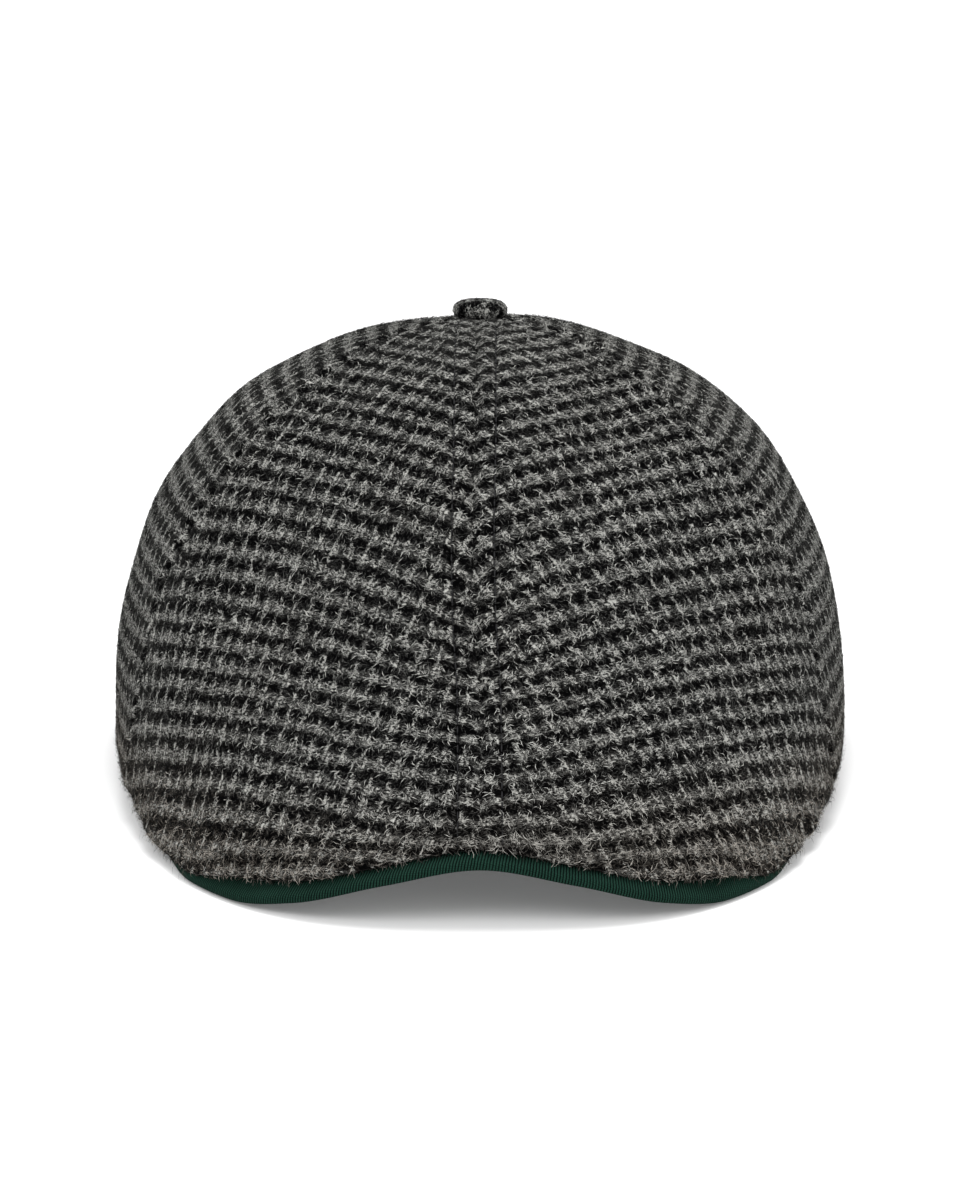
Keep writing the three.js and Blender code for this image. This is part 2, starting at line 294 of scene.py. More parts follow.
def crown_normal(azimuth, t):
    """The direction out of the cloth at a point of the crown."""
    along = crown_point(azimuth, t + 0.002) - crown_point(azimuth, t - 0.002)
    across = crown_point(azimuth + 0.5, t) - crown_point(azimuth - 0.5, t)
    normal = np.cross(along, across)
    normal = normal * np.sign((normal * (crown_point(azimuth, t) - INSIDE)).sum(-1, keepdims=True))
    return normal / np.linalg.norm(normal, axis=-1, keepdims=True)


def cloth_end(azimuth):
    return 1 - section("cloth_back", azimuth) / (3 * section("rim_pull", azimuth))


def panel_lines(kind, places, side, drawn=1):
    """Azimuth and t over one panel, row by row, at places from its front seam (0) to its back one (1)."""
    s = np.linspace(0, 1, len(places))[:, None] ** ROW_SPREAD
    lines = (
        np.zeros_like(s),
        column(SEAMS, SEAM_COLUMNS, "side", s),
        column(SEAMS, SEAM_COLUMNS, "back", s),
        np.full_like(s, 180.0),
    )
    first, last = (lines[k] for k in PANELS[kind]["lines"])
    middle = first + (last - first) * places
    t = TIP_START + (cloth_end(middle) - TIP_START) * s
    distance = np.hypot(*(crown_point(middle, t) - [0, BUTTON_Y, 0])[..., :2].transpose(2, 0, 1))
    inset = np.degrees(np.arcsin(np.minimum(SEAM_GAP / distance, 0.5)))
    azimuth = (first + inset + (last - first - 2 * inset) * places) * side
    aside = column(MIDDLE_SEAM, MIDDLE_SEAM_COLUMNS, "aside", s) * drawn
    near = np.clip(1 - np.abs(azimuth) / MIDDLE_SEAM_REACH, 0, 1)
    return azimuth + np.degrees(np.arcsin(aside / distance)) * near, t


@functools.cache
def coarse_panel(kind):
    """Points of a right panel, before it is sewn, on a coarse and even grid."""
    return crown_point(*panel_lines(kind, np.tile(np.linspace(0, 1, 25), (41, 1)), 1, drawn=0))


@functools.cache
def panel_places(kind):
    """Places across a panel at which each row of its mesh has points, closest by seams and stitches."""
    made = PANELS[kind]
    widths = spacing(coarse_panel(kind), 1)[:, -1]
    width = np.interp(np.linspace(0, 1, made["rows"]), np.linspace(0, 1, len(widths)), widths)[:, None]
    first = np.array(BY_STITCHES if made["stitched"] == "first" else BY_SEAM)
    last = np.array(BY_STITCHES if made["stitched"] == "last" else BY_SEAM)
    longest = first[-1] + last[-1]
    first = first * np.minimum(1, 0.9 * width / longest)
    last = last * np.minimum(1, 0.9 * width / longest)
    start, end = first[:, -1:], width - last[:, -1:]
    between = start + (end - start) * np.linspace(0, 1, made["plain"] + 2)[1:-1]
    return np.concatenate([first, between, (width - last)[:, ::-1]], 1) / width


def spacing(points, axis):
    """Distances run along a grid's rows (axis 1) or down its columns (axis 0)."""
    steps = np.linalg.norm(np.diff(points, axis=axis), axis=2)
    start = np.zeros((1, points.shape[1])) if axis == 0 else np.zeros((points.shape[0], 1))
    return np.concatenate([start, np.cumsum(steps, axis=axis)], axis)


# ---------------------------------------------------------------- cutting the cloth


def flatten(points, rounds=30):
    """Lays a grid of points out flat with the least stretch, as the cloth was cut.

    Each triangle is laid flat by itself. Then the triangles are turned and joined again and again, until
    together they keep their own shapes as nearly as they can.
    """
    rows, columns = points.shape[:2]
    index = np.arange(rows * columns).reshape(rows, columns)
    a, b, c, d = index[:-1, :-1], index[:-1, 1:], index[1:, 1:], index[1:, :-1]
    corners = np.concatenate([np.stack([a, b, c], -1), np.stack([a, c, d], -1)]).reshape(-1, 3)
    p = points.reshape(-1, 3)
    first, second = p[corners[:, 1]] - p[corners[:, 0]], p[corners[:, 2]] - p[corners[:, 0]]
    length = np.linalg.norm(first, axis=1)
    lone = np.zeros((len(corners), 3, 2))
    lone[:, 1, 0] = length
    lone[:, 2, 0] = (first * second).sum(1) / length
    lone[:, 2, 1] = np.linalg.norm(np.cross(first, second), axis=1) / length

    sides = ((1, 2), (2, 0), (0, 1))
    weights = np.zeros((len(corners), 3))
    joined = np.zeros((len(p), len(p)))
    for k, (i, j) in enumerate(sides):
        u, v = lone[:, i] - lone[:, k], lone[:, j] - lone[:, k]
        area = np.abs(u[:, 0] * v[:, 1] - u[:, 1] * v[:, 0])
        weights[:, k] = np.clip((u * v).sum(1) / np.maximum(area, 1e-9), 0.01, 20)
        ends = corners[:, i], corners[:, j]
        np.add.at(joined, ends, -weights[:, k])
        np.add.at(joined, ends[::-1], -weights[:, k])
        np.add.at(joined, (ends[0], ends[0]), weights[:, k])
        np.add.at(joined, (ends[1], ends[1]), weights[:, k])
    joined[0, 0] += 1.0
    solve = np.linalg.inv(joined)

    middle = columns // 2
    down = spacing(points, 0)[:, middle : middle + 1]
    across = spacing(points, 1)
    flat = np.stack([across - across[:, middle : middle + 1], -down + 0 * across], -1).reshape(-1, 2)
    lone[:, :, 1] *= -1
    for _ in range(rounds):
        spin = np.zeros((len(corners), 2, 2))
        for k, (i, j) in enumerate(sides):
            now, own = flat[corners[:, i]] - flat[corners[:, j]], lone[:, i] - lone[:, j]
            spin += weights[:, k, None, None] * now[:, :, None] * own[:, None, :]
        left, _, right = np.linalg.svd(spin)
        left[np.linalg.det(left @ right) < 0, :, 1] *= -1
        turn = left @ right
        pull = np.zeros((len(p), 2))
        for k, (i, j) in enumerate(sides):
            edge = weights[:, k, None] * np.einsum("tij,tj->ti", turn, lone[:, i] - lone[:, j])
            np.add.at(pull, corners[:, i], edge)
            np.add.at(pull, corners[:, j], -edge)
        flat = solve @ pull
    flat = flat.reshape(rows, columns, 2)
    line = flat[-1, middle] - flat[0, middle]
    return turned(flat - flat[0, middle], math.degrees(-math.atan2(line[0], -line[1])))


def turned(flat, degrees):
    a = math.radians(degrees)
    x, y = flat[..., 0], flat[..., 1]
    return np.stack([x * math.cos(a) - y * math.sin(a), x * math.sin(a) + y * math.cos(a)], -1)


def resized(grid, places):
    """The same grid of values at other rows, evenly, and at given places along them."""
    r = np.linspace(0, grid.shape[0] - 1, len(places))[:, None] + 0 * places
    c = places * (grid.shape[1] - 1)
    i, j = np.minimum(r.astype(int), grid.shape[0] - 2), np.minimum(c.astype(int), grid.shape[1] - 2)
    y, x = (r - i)[..., None], (c - j)[..., None]
    top = grid[i, j] * (1 - x) + grid[i, j + 1] * x
    low = grid[i + 1, j] * (1 - x) + grid[i + 1, j + 1] * x
    return top * (1 - y) + low * y


@functools.cache
def panel_cloth(kind):
    """A coarse grid of where each point of a right panel lies on its cloth: along the bands, and up."""
    points = coarse_panel(kind)
    flat = flatten(points)
    down = spacing(points, 0)
    along_band = turned(flat, -PANELS[kind]["grain"])
    if kind == "front":
        # The cloth is stretched a little over the front of the crown and shrunk over the peak, where its
        # bands are eased level towards the middle seam. It also creeps sideways below the crown's top.
        across = spacing(points, 1)
        stretched = rise_over(down, *STRETCHED) - rise_over(down, *RELEASED)
        along_band[..., 1] += STRETCH * stretched - SHRINKING * rise_over(down, *SHRUNK)
        level = np.clip((down - LEVELLED[0]) / (LEVELLED[1] - LEVELLED[0]), 0, 1) ** 2
        along_band[..., 1] += LEVELLING * level * LEVELLED_ACROSS * (1 - np.exp(-across / LEVELLED_ACROSS))
        along_band[..., 0] += CREEP * rise_over(down, *CREPT)
    return along_band


def rise_over(down, start, end):
    """Distance gone beyond a start, gathering pace until an end."""
    part = np.clip((down - start) / (end - start), 0, 1)
    return (end - start) * (part**3 - part**4 / 2) + np.maximum(down - end, 0)


def cloth_coordinates(kind, side):
    """Where each point of a panel lies on its cloth, in millimetres: along its bands, and up."""
    return resized(panel_cloth(kind), panel_places(kind)) * [side, 1] + CUT_FROM[kind, side]


# ---------------------------------------------------------------- how the cloth lies


def ripple(x, y, seed):
    """Gentle uneven waves over x and y, in wavelengths, from -1 to 1."""
    rng = np.random.default_rng(seed)
    total = np.zeros(np.broadcast(x, y).shape)
    for _ in range(7):
        a, scale, phase = rng.uniform(0, 2 * math.pi), rng.uniform(0.6, 1.6), rng.uniform(0, 2 * math.pi)
        total += np.sin(2 * math.pi * scale * (x * math.cos(a) + y * math.sin(a)) + phase)
    return total / 4


def from_stitched_seam(kind, across):
    """Distance from the seam that has stitches beside it, from distances across a panel, or None."""
    return {"first": across, "last": across[:, -1:] - across}.get(PANELS[kind]["stitched"])


def ridge(distance, at, width):
    """A soft ridge: 1 at a place, falling away over a width."""
    return np.exp(-(((distance - at) / width) ** 2))


def relief(kind, points, side, sizes):
    """How far the cloth stands off its smooth shape: sunk seams and stitching, and soft unevenness."""
    across = spacing(points, 1)
    down = spacing(points, 0)
    width = across[:, -1:]
    seam = sizes.seam_depth / MM
    lift = 0
    for from_seam in (across, width - across):
        lift += ROLL_HEIGHT * ridge(from_seam, *ROLL) - seam * ridge(from_seam, 0, SEAM_WIDTH)
    stitched = from_stitched_seam(kind, across)
    if stitched is not None:
        from_stitches = stitched - sizes.stitch_offset / MM
        for height, at, spread in STITCH_RELIEF:
            lift += height * ridge(from_stitches, at, spread)
    seed = {"front": 11, "side": 23, "back": 37}[kind] + (side > 0) * 5
    lift += SWELL * ripple(points[..., 0] / SWELL_LENGTH, points[..., 2] / SWELL_LENGTH, seed)
    to_edge = down[-1:] - down
    along_edge = across[-1:] / GATHER_LENGTH + 0 * down
    lift += GATHERS[kind] * ripple(along_edge, to_edge / 40, seed + 1) * np.exp(-to_edge / GATHER_REACH)
    return lift * np.clip(width / NARROW, 0, 1)


@functools.cache
def panel_grids(kind, side, sizes):
    """The outer face, inner face and cloth coordinates of one panel, as grids."""
    azimuth, t = panel_lines(kind, panel_places(kind), side)
    t = t - PULLED_UP / (3 * section("rim_pull", azimuth)) * np.linspace(0, 1, len(t))[:, None]
    smooth, normal = crown_point(azimuth, t), crown_normal(azimuth, t)
    outer = smooth + normal * relief(kind, smooth, side, sizes)[..., None]
    inner = smooth - normal * CLOTH
    if kind == "front":
        # At the peak's corners the cloth's edge is drawn down over the twill, and thins.
        rim = azimuth[-1]
        over = np.interp(np.abs(rim), *DRAWN_OVER)[:, None]
        corner = place(rim, rim_reach(rim) - 0.25, section("lip", rim) + PEAK_THICKNESS + 0.35)
        down = spacing(smooth, 0)
        to_edge = (down[-1:] - down)[..., None]
        pull = (corner - outer[-1]) * over * ridge(to_edge, 0, 7)
        outer, inner = outer + pull, inner + pull
        inner = inner + (outer - inner) * 0.4 * over * ridge(to_edge, 0, 3)
    return outer, inner, cloth_coordinates(kind, side)


def folded_rim(outer, inner, turns=5):
    """Rows that round off the cloth's lower edge, from its outer face to its inner one."""
    middle, half = (outer[-1] + inner[-1]) / 2, (outer[-1] - inner[-1]) / 2
    downward = outer[-1] - outer[-3]
    downward = downward / np.linalg.norm(downward, axis=-1, keepdims=True)
    radius = np.linalg.norm(half, axis=-1, keepdims=True)
    rows = []
    for a in np.linspace(0, math.pi, turns + 2)[1:-1]:
        rows.append(middle + half * math.cos(a) + downward * np.minimum(radius, 0.9) * math.sin(a))
    return np.array(rows)


# ---------------------------------------------------------------- meshes


def new_object(name, vertices, faces, uv=None, slots=(), slot_of_face=None):
    """A smooth mesh object from millimetres, with its cloth coordinates in metres in the UV map "cloth"."""
    mesh = bpy.data.meshes.new(name)
    mesh.from_pydata((np.asarray(vertices) * MM).tolist(), [], [list(map(int, f)) for f in faces])
    if uv is not None:
        layer = mesh.uv_layers.new(name="cloth")
        loops = np.empty(len(mesh.loops), int)
        mesh.loops.foreach_get("vertex_index", loops)
        layer.data.foreach_set("uv", (np.asarray(uv)[loops] * MM).astype(np.float32).ravel())
    for material in slots:
        mesh.materials.append(material)
    if slot_of_face is not None:
        mesh.polygons.foreach_set("material_index", np.asarray(slot_of_face, np.int32))
    mesh.polygons.foreach_set("use_smooth", np.ones(len(mesh.polygons), bool))
    mesh.validate()
    mesh.update()
    made = bpy.data.objects.new(name, mesh)
    bpy.context.collection.objects.link(made)
    return made


def loft(rings, closed=False):
    """Faces between rings of points (ring, point, xyz), with flat strips across the two ends."""
    count, size = rings.shape[:2]
    index = np.arange(count * size).reshape(count, size)
    if closed:
        index = np.concatenate([index, index[:1]])
    beside = np.roll(index, -1, axis=1)
    sides = np.stack([index[:-1], beside[:-1], beside[1:], index[1:]], -1).reshape(-1, 4)
    faces = sides.tolist()
    kinds = np.tile(np.arange(size), len(index) - 1).tolist()
    if not closed:
        for ring, flip in ((index[0], False), (index[-1], True)):
            for i in range(size // 2 - 1):
                strip = [ring[i], ring[i + 1], ring[size - 2 - i], ring[size - 1 - i]]
                if strip[1] == strip[2]:
                    strip.pop(2)
                faces.append(strip if flip else strip[::-1])
                kinds.append(-1)
    return faces, np.array(kinds)


def outward(vertices, faces):
    """The same faces, turned to point out of the closed shape."""
    p = np.asarray(vertices)
    total = 0.0
    for f in faces:
        for k in range(1, len(f) - 1):
            total += np.dot(p[f[0]], np.cross(p[f[k]], p[f[k + 1]]))
    return faces if total > 0 else [f[::-1] for f in faces]


def finish_piece(piece, slot, *nodes):
    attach(piece, "root")
    if nodes:
        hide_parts(*nodes)
    return piece


# ---------------------------------------------------------------- node helpers


class Wire:
    """A number in a node tree. Sums of wires make Math nodes."""

    def __init__(self, tree, socket):
        self.tree, self.socket = tree, socket

    def math(self, operation, *others, clamp=False):
        node = self.tree.nodes.new("ShaderNodeMath")
        node.operation = operation
        node.use_clamp = clamp
        for place_in, value in zip(node.inputs, (self, *others)):
            plug(self.tree, value, place_in)
        return Wire(self.tree, node.outputs[0])

    def __add__(self, other):
        return self.math("ADD", other)

    def __sub__(self, other):
        return self.math("SUBTRACT", other)

    def __mul__(self, other):
        return self.math("MULTIPLY", other)

    def __truediv__(self, other):
        return self.math("DIVIDE", other)

    def max(self, other):
        return self.math("MAXIMUM", other)

    def min(self, other):
        return self.math("MINIMUM", other)

    def abs(self):
        return self.math("ABSOLUTE")

    def wrapped(self):
        """The signed distance to the nearest whole number."""
        return (self + 0.5).math("FRACT") - 0.5

    def between(self, low, high):
        """0 at low, 1 at high, smooth and flat beyond both."""
        node = self.tree.nodes.new("ShaderNodeMapRange")
        node.interpolation_type = "SMOOTHSTEP"
        for name, value in (("Value", self), ("From Min", low), ("From Max", high)):
            plug(self.tree, value, node.inputs[name])
        return Wire(self.tree, node.outputs["Result"])


def plug(tree, value, socket):
    """Links a wire or a socket to a socket, or sets the socket's own value."""
    if isinstance(value, Wire):
        value = value.socket
    if isinstance(value, bpy.types.NodeSocket):
        tree.links.new(value, socket)
    else:
        socket.default_value = value


def node(tree, kind, settings=None, **inputs):
    """A new node with its settings and its inputs, which are named with underscores for spaces."""
    made = tree.nodes.new(kind)
    for name, value in (settings or {}).items():
        setattr(made, name, value)
    for name, value in inputs.items():
        plug(tree, value, made.inputs[name.replace("_", " ")])
    return made


def new_tree(kind, name, inputs, outputs):
    """A node tree with named sockets, and its input and output nodes."""
    tree = bpy.data.node_groups.new(name, kind)
    for socket, holds, default in inputs:
        made = tree.interface.new_socket(name=socket, in_out="INPUT", socket_type=f"NodeSocket{holds}")
        if default is not None:
            made.default_value = default
    for socket, holds in outputs:
        tree.interface.new_socket(name=socket, in_out="OUTPUT", socket_type=f"NodeSocket{holds}")
    return tree, tree.nodes.new("NodeGroupInput"), tree.nodes.new("NodeGroupOutput")


def axes_of(tree, vector):
    """The three parts of a vector, as wires."""
    parts = node(tree, "ShaderNodeSeparateXYZ", Vector=vector)
    return [Wire(tree, parts.outputs[axis]) for axis in "XYZ"]


def vector_of(tree, x, y, z):
    return node(tree, "ShaderNodeCombineXYZ", X=x, Y=y, Z=z).outputs[0]


def noise(tree, vector, scale, detail, roughness):
    made = node(tree, "ShaderNodeTexNoise", Vector=vector, Scale=scale, Detail=detail, Roughness=roughness)
    return Wire(tree, made.outputs[0])


def noise_vector(tree, vector, scale, detail, roughness):
    """Three noises at once."""
    return noise(tree, vector, scale, detail, roughness).socket.node.outputs["Color"]


# ---------------------------------------------------------------- cloth effects

# The pale floats that show in one repeat of the tweed. x and y are their middles and long and wide their
# half sizes, in repeats across and up. lean slants one, and pale is how bright it is.
FLOATS = (
    {"x": 0.09, "y": 0.62, "wide": 0.080, "long": 0.385, "lean": -0.20, "pale": 1.20},
    {"x": 0.33, "y": 0.47, "wide": 0.080, "long": 0.23, "lean": -0.20, "pale": 0.90},
    {"x": 0.72, "y": 0.61, "wide": 0.20, "long": 0.085, "lean": 0.0, "pale": 0.55},
    {"x": 0.90, "y": 0.40, "wide": 0.26, "long": 0.080, "lean": 0.0, "pale": 0.52},
)
# Layers of felted hairs: turn is a layer's direction, pitch its fineness, reach how short its hairs are.
HAIR_LAYERS = (
    {"turn": 0.3, "pitch": 1.00, "reach": 0.26},
    {"turn": 1.0, "pitch": 1.15, "reach": 0.22},
    {"turn": 1.7, "pitch": 0.90, "reach": 0.30},
    {"turn": 2.4, "pitch": 1.10, "reach": 0.24},
    {"turn": 2.9, "pitch": 0.80, "reach": 0.34},
)
TONE_AND_HEIGHT = [("Tone", "Float"), ("Height", "Float")]


def tweed_group(sizes):
    """Tone of the tweed, from 0 (dark yarn) to 1 (palest), and its height, from the cloth coordinates."""
    inputs = [
        ("Cloth", "Vector", None),
        ("Across", "Float", sizes.repeat_across),
        ("Up", "Float", sizes.repeat_up),
        ("Unevenness", "Float", 1.0),
        ("Softness", "Float", 0.45),
        ("Lean", "Float", 0.0),
    ]
    tree, given, put = new_tree("ShaderNodeTree", "Banded tweed", inputs, TONE_AND_HEIGHT)
    cloth = given.outputs["Cloth"]
    across, up, uneven, soft, lean = (Wire(tree, given.outputs[name]) for name, *_ in inputs[1:])
    drift = axes_of(tree, noise_vector(tree, cloth, 150.0, 2.0, 0.6))
    fine = axes_of(tree, noise_vector(tree, cloth, 800.0, 2.0, 0.6))

    def moved(axis, repeat):
        wander = (drift[axis] - 0.5) * 0.38 + (fine[axis] - 0.5) * 0.36
        return axes_of(tree, cloth)[axis] / repeat + wander * uneven

    x, y = moved(0, across), moved(1, up)
    # A soft grey band behind the floats.
    tone = (y - 0.51).wrapped().abs().between(0.36, 0.12) * 0.27
    # Where the cloth creeps, its floats are drawn out a little as well as made to lean.
    short = (noise(tree, cloth, 360.0, 1.0, 0.5) - 0.5) * -2.2 + 1.08 + lean * 0.4
    for one in FLOATS:
        dy = (y - one["y"]).wrapped() * short
        dx = (x - one["x"] - dy * (lean + one["lean"])).wrapped()
        edge = (dx.abs() / one["wide"]).max(dy.abs() / one["long"])
        tone = tone.max(edge.between(soft + 1.0, soft * -1.0 + 1.0) * one["pale"])
    # Some yarns took less dye than others, and some floats are shorter.
    strength = noise(tree, cloth, 420.0, 2.0, 0.5) * 0.9 + noise(tree, cloth, 55.0, 1.0, 0.5) * 0.5 + 0.30
    tone = tone * strength
    plug(tree, tone, put.inputs["Tone"])
    # Every float, pale or dark, is a little ridge of yarn.
    ribs = (x * 4.0 + y * 0.6).wrapped().abs() * -1.6 + 0.8
    plug(tree, tone * 0.6 + ribs * 0.3, put.inputs["Height"])
    return tree


def felt_group():
    """A felt of fine curved hairs over a cloth: 0 in the gaps between them, and 1 on the topmost."""
    inputs = [("Cloth", "Vector", None), ("Scale", "Float", 1500.0)]
    outputs = [("Hairs", "Float"), ("Loose", "Float")]
    tree, given, put = new_tree("ShaderNodeTree", "Felted hairs", inputs, outputs)
    cloth = given.outputs["Cloth"]
    scale = Wire(tree, given.outputs["Scale"])
    bend = noise_vector(tree, cloth, 700.0, 1.0, 0.5)
    curled = node(tree, "ShaderNodeVectorMath", {"operation": "MULTIPLY_ADD"})
    for number, value in enumerate((bend, (0.0011, 0.0011, 0.0), cloth)):
        plug(tree, value, curled.inputs[number])
    layers = []
    for number, one in enumerate(HAIR_LAYERS):
        laid = node(
            tree,
            "ShaderNodeMapping",
            Vector=curled.outputs[0],
            Location=(0.013 * number, 0.029 * number, 0.05 * number),
            Rotation=(0.0, 0.0, one["turn"]),
            Scale=(one["reach"], 1.0, 1.0),
        )
        value = noise(tree, laid.outputs[0], scale * one["pitch"], 0.0, 0.5)
        layers.append((value - 0.5).abs().between(0.10, 0.0))
    top = layers[0].max(layers[1]).max(layers[2])
    mean = functools.reduce(Wire.__add__, layers) * 0.2
    plug(tree, mean * 0.9 + top * 0.35, put.inputs["Hairs"])
    sparse = noise(tree, cloth, 900.0, 1.0, 0.5).between(0.52, 0.68)
    plug(tree, layers[3].max(layers[4]) * sparse, put.inputs["Loose"])
    return tree


def twill_group():
    """Fine slanted lines of twill: their tone and height from the cloth coordinates."""
    inputs = [("Cloth", "Vector", None), ("Pitch", "Float", 0.0006), ("Slant", "Float", 0.5)]
    tree, given, put = new_tree("ShaderNodeTree", "Twill lines", inputs, TONE_AND_HEIGHT)
    pitch, slant = Wire(tree, given.outputs["Pitch"]), Wire(tree, given.outputs["Slant"])
    wander = noise(tree, given.outputs["Cloth"], 700.0, 2.0, 0.6)
    x, y, _ = axes_of(tree, given.outputs["Cloth"])
    line = ((x + y * slant) / pitch + (wander - 0.5) * 0.5).wrapped().abs()
    yarn = ((y - x * 0.2) / (pitch * 0.8) + (wander - 0.5) * 0.6).wrapped().abs()
    ridge = line.between(0.5, 0.12)
    tone = ridge * (yarn.between(0.6, 0.1) * 0.45 + 0.55)
    for output in ("Tone", "Height"):
        plug(tree, tone, put.inputs[output])
    return tree


def grouped(tree, group, **inputs):
    return node(tree, "ShaderNodeGroup", {"node_tree": group}, **inputs)


def new_material(name):
    material = bpy.data.materials.new(name)
    material.use_nodes = True
    tree = material.node_tree
    tree.nodes.clear()
    shader = tree.nodes.new("ShaderNodeBsdfPrincipled")
    output = tree.nodes.new("ShaderNodeOutputMaterial")
    tree.links.new(shader.outputs[0], output.inputs["Surface"])
    return material, tree, shader


def paint(tree, shader, colour, roughness, specular):
    """Gives a material's shader its colour and shine."""
    plug(tree, colour, shader.inputs["Base Color"])
    plug(tree, roughness, shader.inputs["Roughness"])
    plug(tree, specular, shader.inputs["Specular IOR Level"])


def bump(tree, shader, height, strength, distance):
    """Raises a material's surface by a height."""
    bumped = node(tree, "ShaderNodeBump", Strength=strength, Distance=distance, Height=height)
    plug(tree, bumped.outputs[0], shader.inputs["Normal"])


def mixed(tree, factor, first, second):
    made = node(tree, "ShaderNodeMix", {"data_type": "RGBA"})
    for number, value in ((0, factor), (6, first), (7, second)):
        plug(tree, value, made.inputs[number])
    return made.outputs[2]


def scaled(colour, factor):
    return (*[min(1, c * factor) for c in colour], 1)


def object_place(tree):
    return node(tree, "ShaderNodeTexCoord").outputs["Object"]


def attribute(tree, name, output="Fac"):
    return node(tree, "ShaderNodeAttribute", {"attribute_name": name}).outputs[output]


def cloth_vector(tree):
    return attribute(tree, "cloth", "Vector")


def floats_lean(tree):
    """How much more the floats lean on the cap's right half, where the cloth creeps, than on its left."""
    return axes_of(tree, object_place(tree))[0].math("SIGN") * -0.14


def tone_colour(tree, tone, colours):
    """The wool's own colours, from dark yarn to palest."""
    ramp = tree.nodes.new("ShaderNodeValToRGB")
    stops = ramp.color_ramp.elements
    stops[0].position, stops[0].color = 0.05, (*colours.dark_yarn, 1)
    stops[1].position, stops[1].color = 1.0, (*colours.pale_yarn, 1)
    between = stops.new(0.45)
    between.color = (*colours.grey_yarn, 1)
    plug(tree, tone, ramp.inputs["Fac"])
    return ramp.outputs["Color"]


def wool_material(tools):
    """The tweed itself: bands and floats of two yarns, felted over."""
    material, tree, shader = new_material("Wool tweed")
    cloth, place_of = cloth_vector(tree), object_place(tree)
    weave = grouped(tree, tools.tweed, Cloth=cloth, Lean=floats_lean(tree))
    felt = grouped(tree, tools.felt, Cloth=cloth)
    hairs, loose = Wire(tree, felt.outputs["Hairs"]), Wire(tree, felt.outputs["Loose"])
    # Painted shade: the colour is darkened along the channel that the stitches pull in beside the middle
    # seam.
    painted_stitch_shade = Wire(tree, attribute(tree, "painted_stitch_shade"))
    tone = Wire(tree, weave.outputs["Tone"]) * (hairs * 2.4 - 0.30) + loose * 0.22 + (hairs - 0.6) * 0.14
    # Painted sheen: where the cloth is seen along its surface, its colour is made paler, standing in for
    # the sheen of its felted hairs.
    painted_sheen = Wire(tree, node(tree, "ShaderNodeLayerWeight", Blend=0.5).outputs["Facing"])
    tone = (tone.max(0.0) + painted_sheen * painted_sheen * 0.27) * (painted_stitch_shade * -0.95 + 1.0)
    colour = tone_colour(tree, tone.max(0.0).min(1.0), tools.colours)
    # It has browned a little, mostly near the table.
    low = axes_of(tree, place_of)[2].between(0.045, 0.005)
    patches = noise(tree, place_of, 25.0, 2.0, 0.5).between(0.42, 0.7)
    brown = mixed(tree, 0.6, colour, (0.20, 0.145, 0.11, 1))
    colour = mixed(tree, patches * (low * 0.30 + 0.10) * tone.min(1.0), colour, brown)
    paint(tree, shader, colour, roughness=1.0, specular=0.0)
    bump(tree, shader, Wire(tree, weave.outputs["Height"]) * 0.6 + hairs * 0.5, 1.0, 0.0006)
    return material


def fibre_material(tools):
    """Loose fibres, each in the colour of the yarn that it comes from or nearly so."""
    material, tree, shader = new_material("Wool fibres")
    weave = grouped(tree, tools.tweed, Cloth=cloth_vector(tree), Lean=floats_lean(tree))
    shade = Wire(tree, attribute(tree, "shade"))
    strong = shade * shade
    tone = Wire(tree, weave.outputs["Tone"]) * (strong * 2.1 + 0.02) + strong * strong * 0.46
    tone = tone.max(0.0).min(1.0)
    brown = axes_of(tree, object_place(tree))[2].between(0.032, 0.004) * tone * 0.55
    colour = mixed(tree, brown, tone_colour(tree, tone, tools.colours), (0.27, 0.215, 0.165, 1))
    paint(tree, shader, colour, roughness=1.0, specular=0.0)
    return material


def backing_material(tools):
    """The plain inside of the cloth."""
    material, tree, shader = new_material("Wool backing")
    cloth = cloth_vector(tree)
    lines = grouped(tree, tools.twill, Cloth=cloth, Pitch=0.0011, Slant=0.0)
    tone = Wire(tree, lines.outputs["Tone"]) * 0.6 + noise(tree, cloth, 600.0, 3.0, 0.6) * 0.5
    dark, light = (0.018, 0.018, 0.019, 1), (0.06, 0.06, 0.058, 1)
    paint(tree, shader, mixed(tree, tone.min(1.0), dark, light), roughness=0.9, specular=0.2)
    bump(tree, shader, tone, 0.6, 0.0003)
    return material


def twill_material(tools):
    """Green cotton twill on the peak."""
    material, tree, shader = new_material("Green twill")
    lines = grouped(tree, tools.twill, Cloth=cloth_vector(tree), Pitch=tools.sizes.twill_pitch, Slant=0.15)
    wear = noise(tree, object_place(tree), 90.0, 4.0, 0.6)
    tone = Wire(tree, lines.outputs["Tone"]) * 0.9 + (wear - 0.5) * 0.3
    dark, light = scaled(tools.colours.twill, 0.05), scaled(tools.colours.twill, 3.1)
    colour = mixed(tree, tone.max(0.0).min(1.0), dark, light)
    paint(tree, shader, colour, roughness=0.9, specular=0.03)
    bump(tree, shader, Wire(tree, lines.outputs["Height"]) + wear * 0.2, 0.9, 0.0003)
    return material


def band_material(tools):
    """The plain cotton of the sweatband."""
    material, tree, shader = new_material("Band cloth")
    cloth = cloth_vector(tree)
    lines = grouped(tree, tools.twill, Cloth=cloth, Pitch=0.0008, Slant=1.0)
    tone = Wire(tree, lines.outputs["Tone"]) * 0.7 + noise(tree, cloth, 400.0, 3.0, 0.6) * 0.4
    dark, light = scaled(tools.colours.band, 0.5), scaled(tools.colours.band, 1.8)
    paint(tree, shader, mixed(tree, tone.min(1.0), dark, light), roughness=0.85, specular=0.25)
    bump(tree, shader, lines.outputs["Height"], 0.6, 0.0002)
    return material


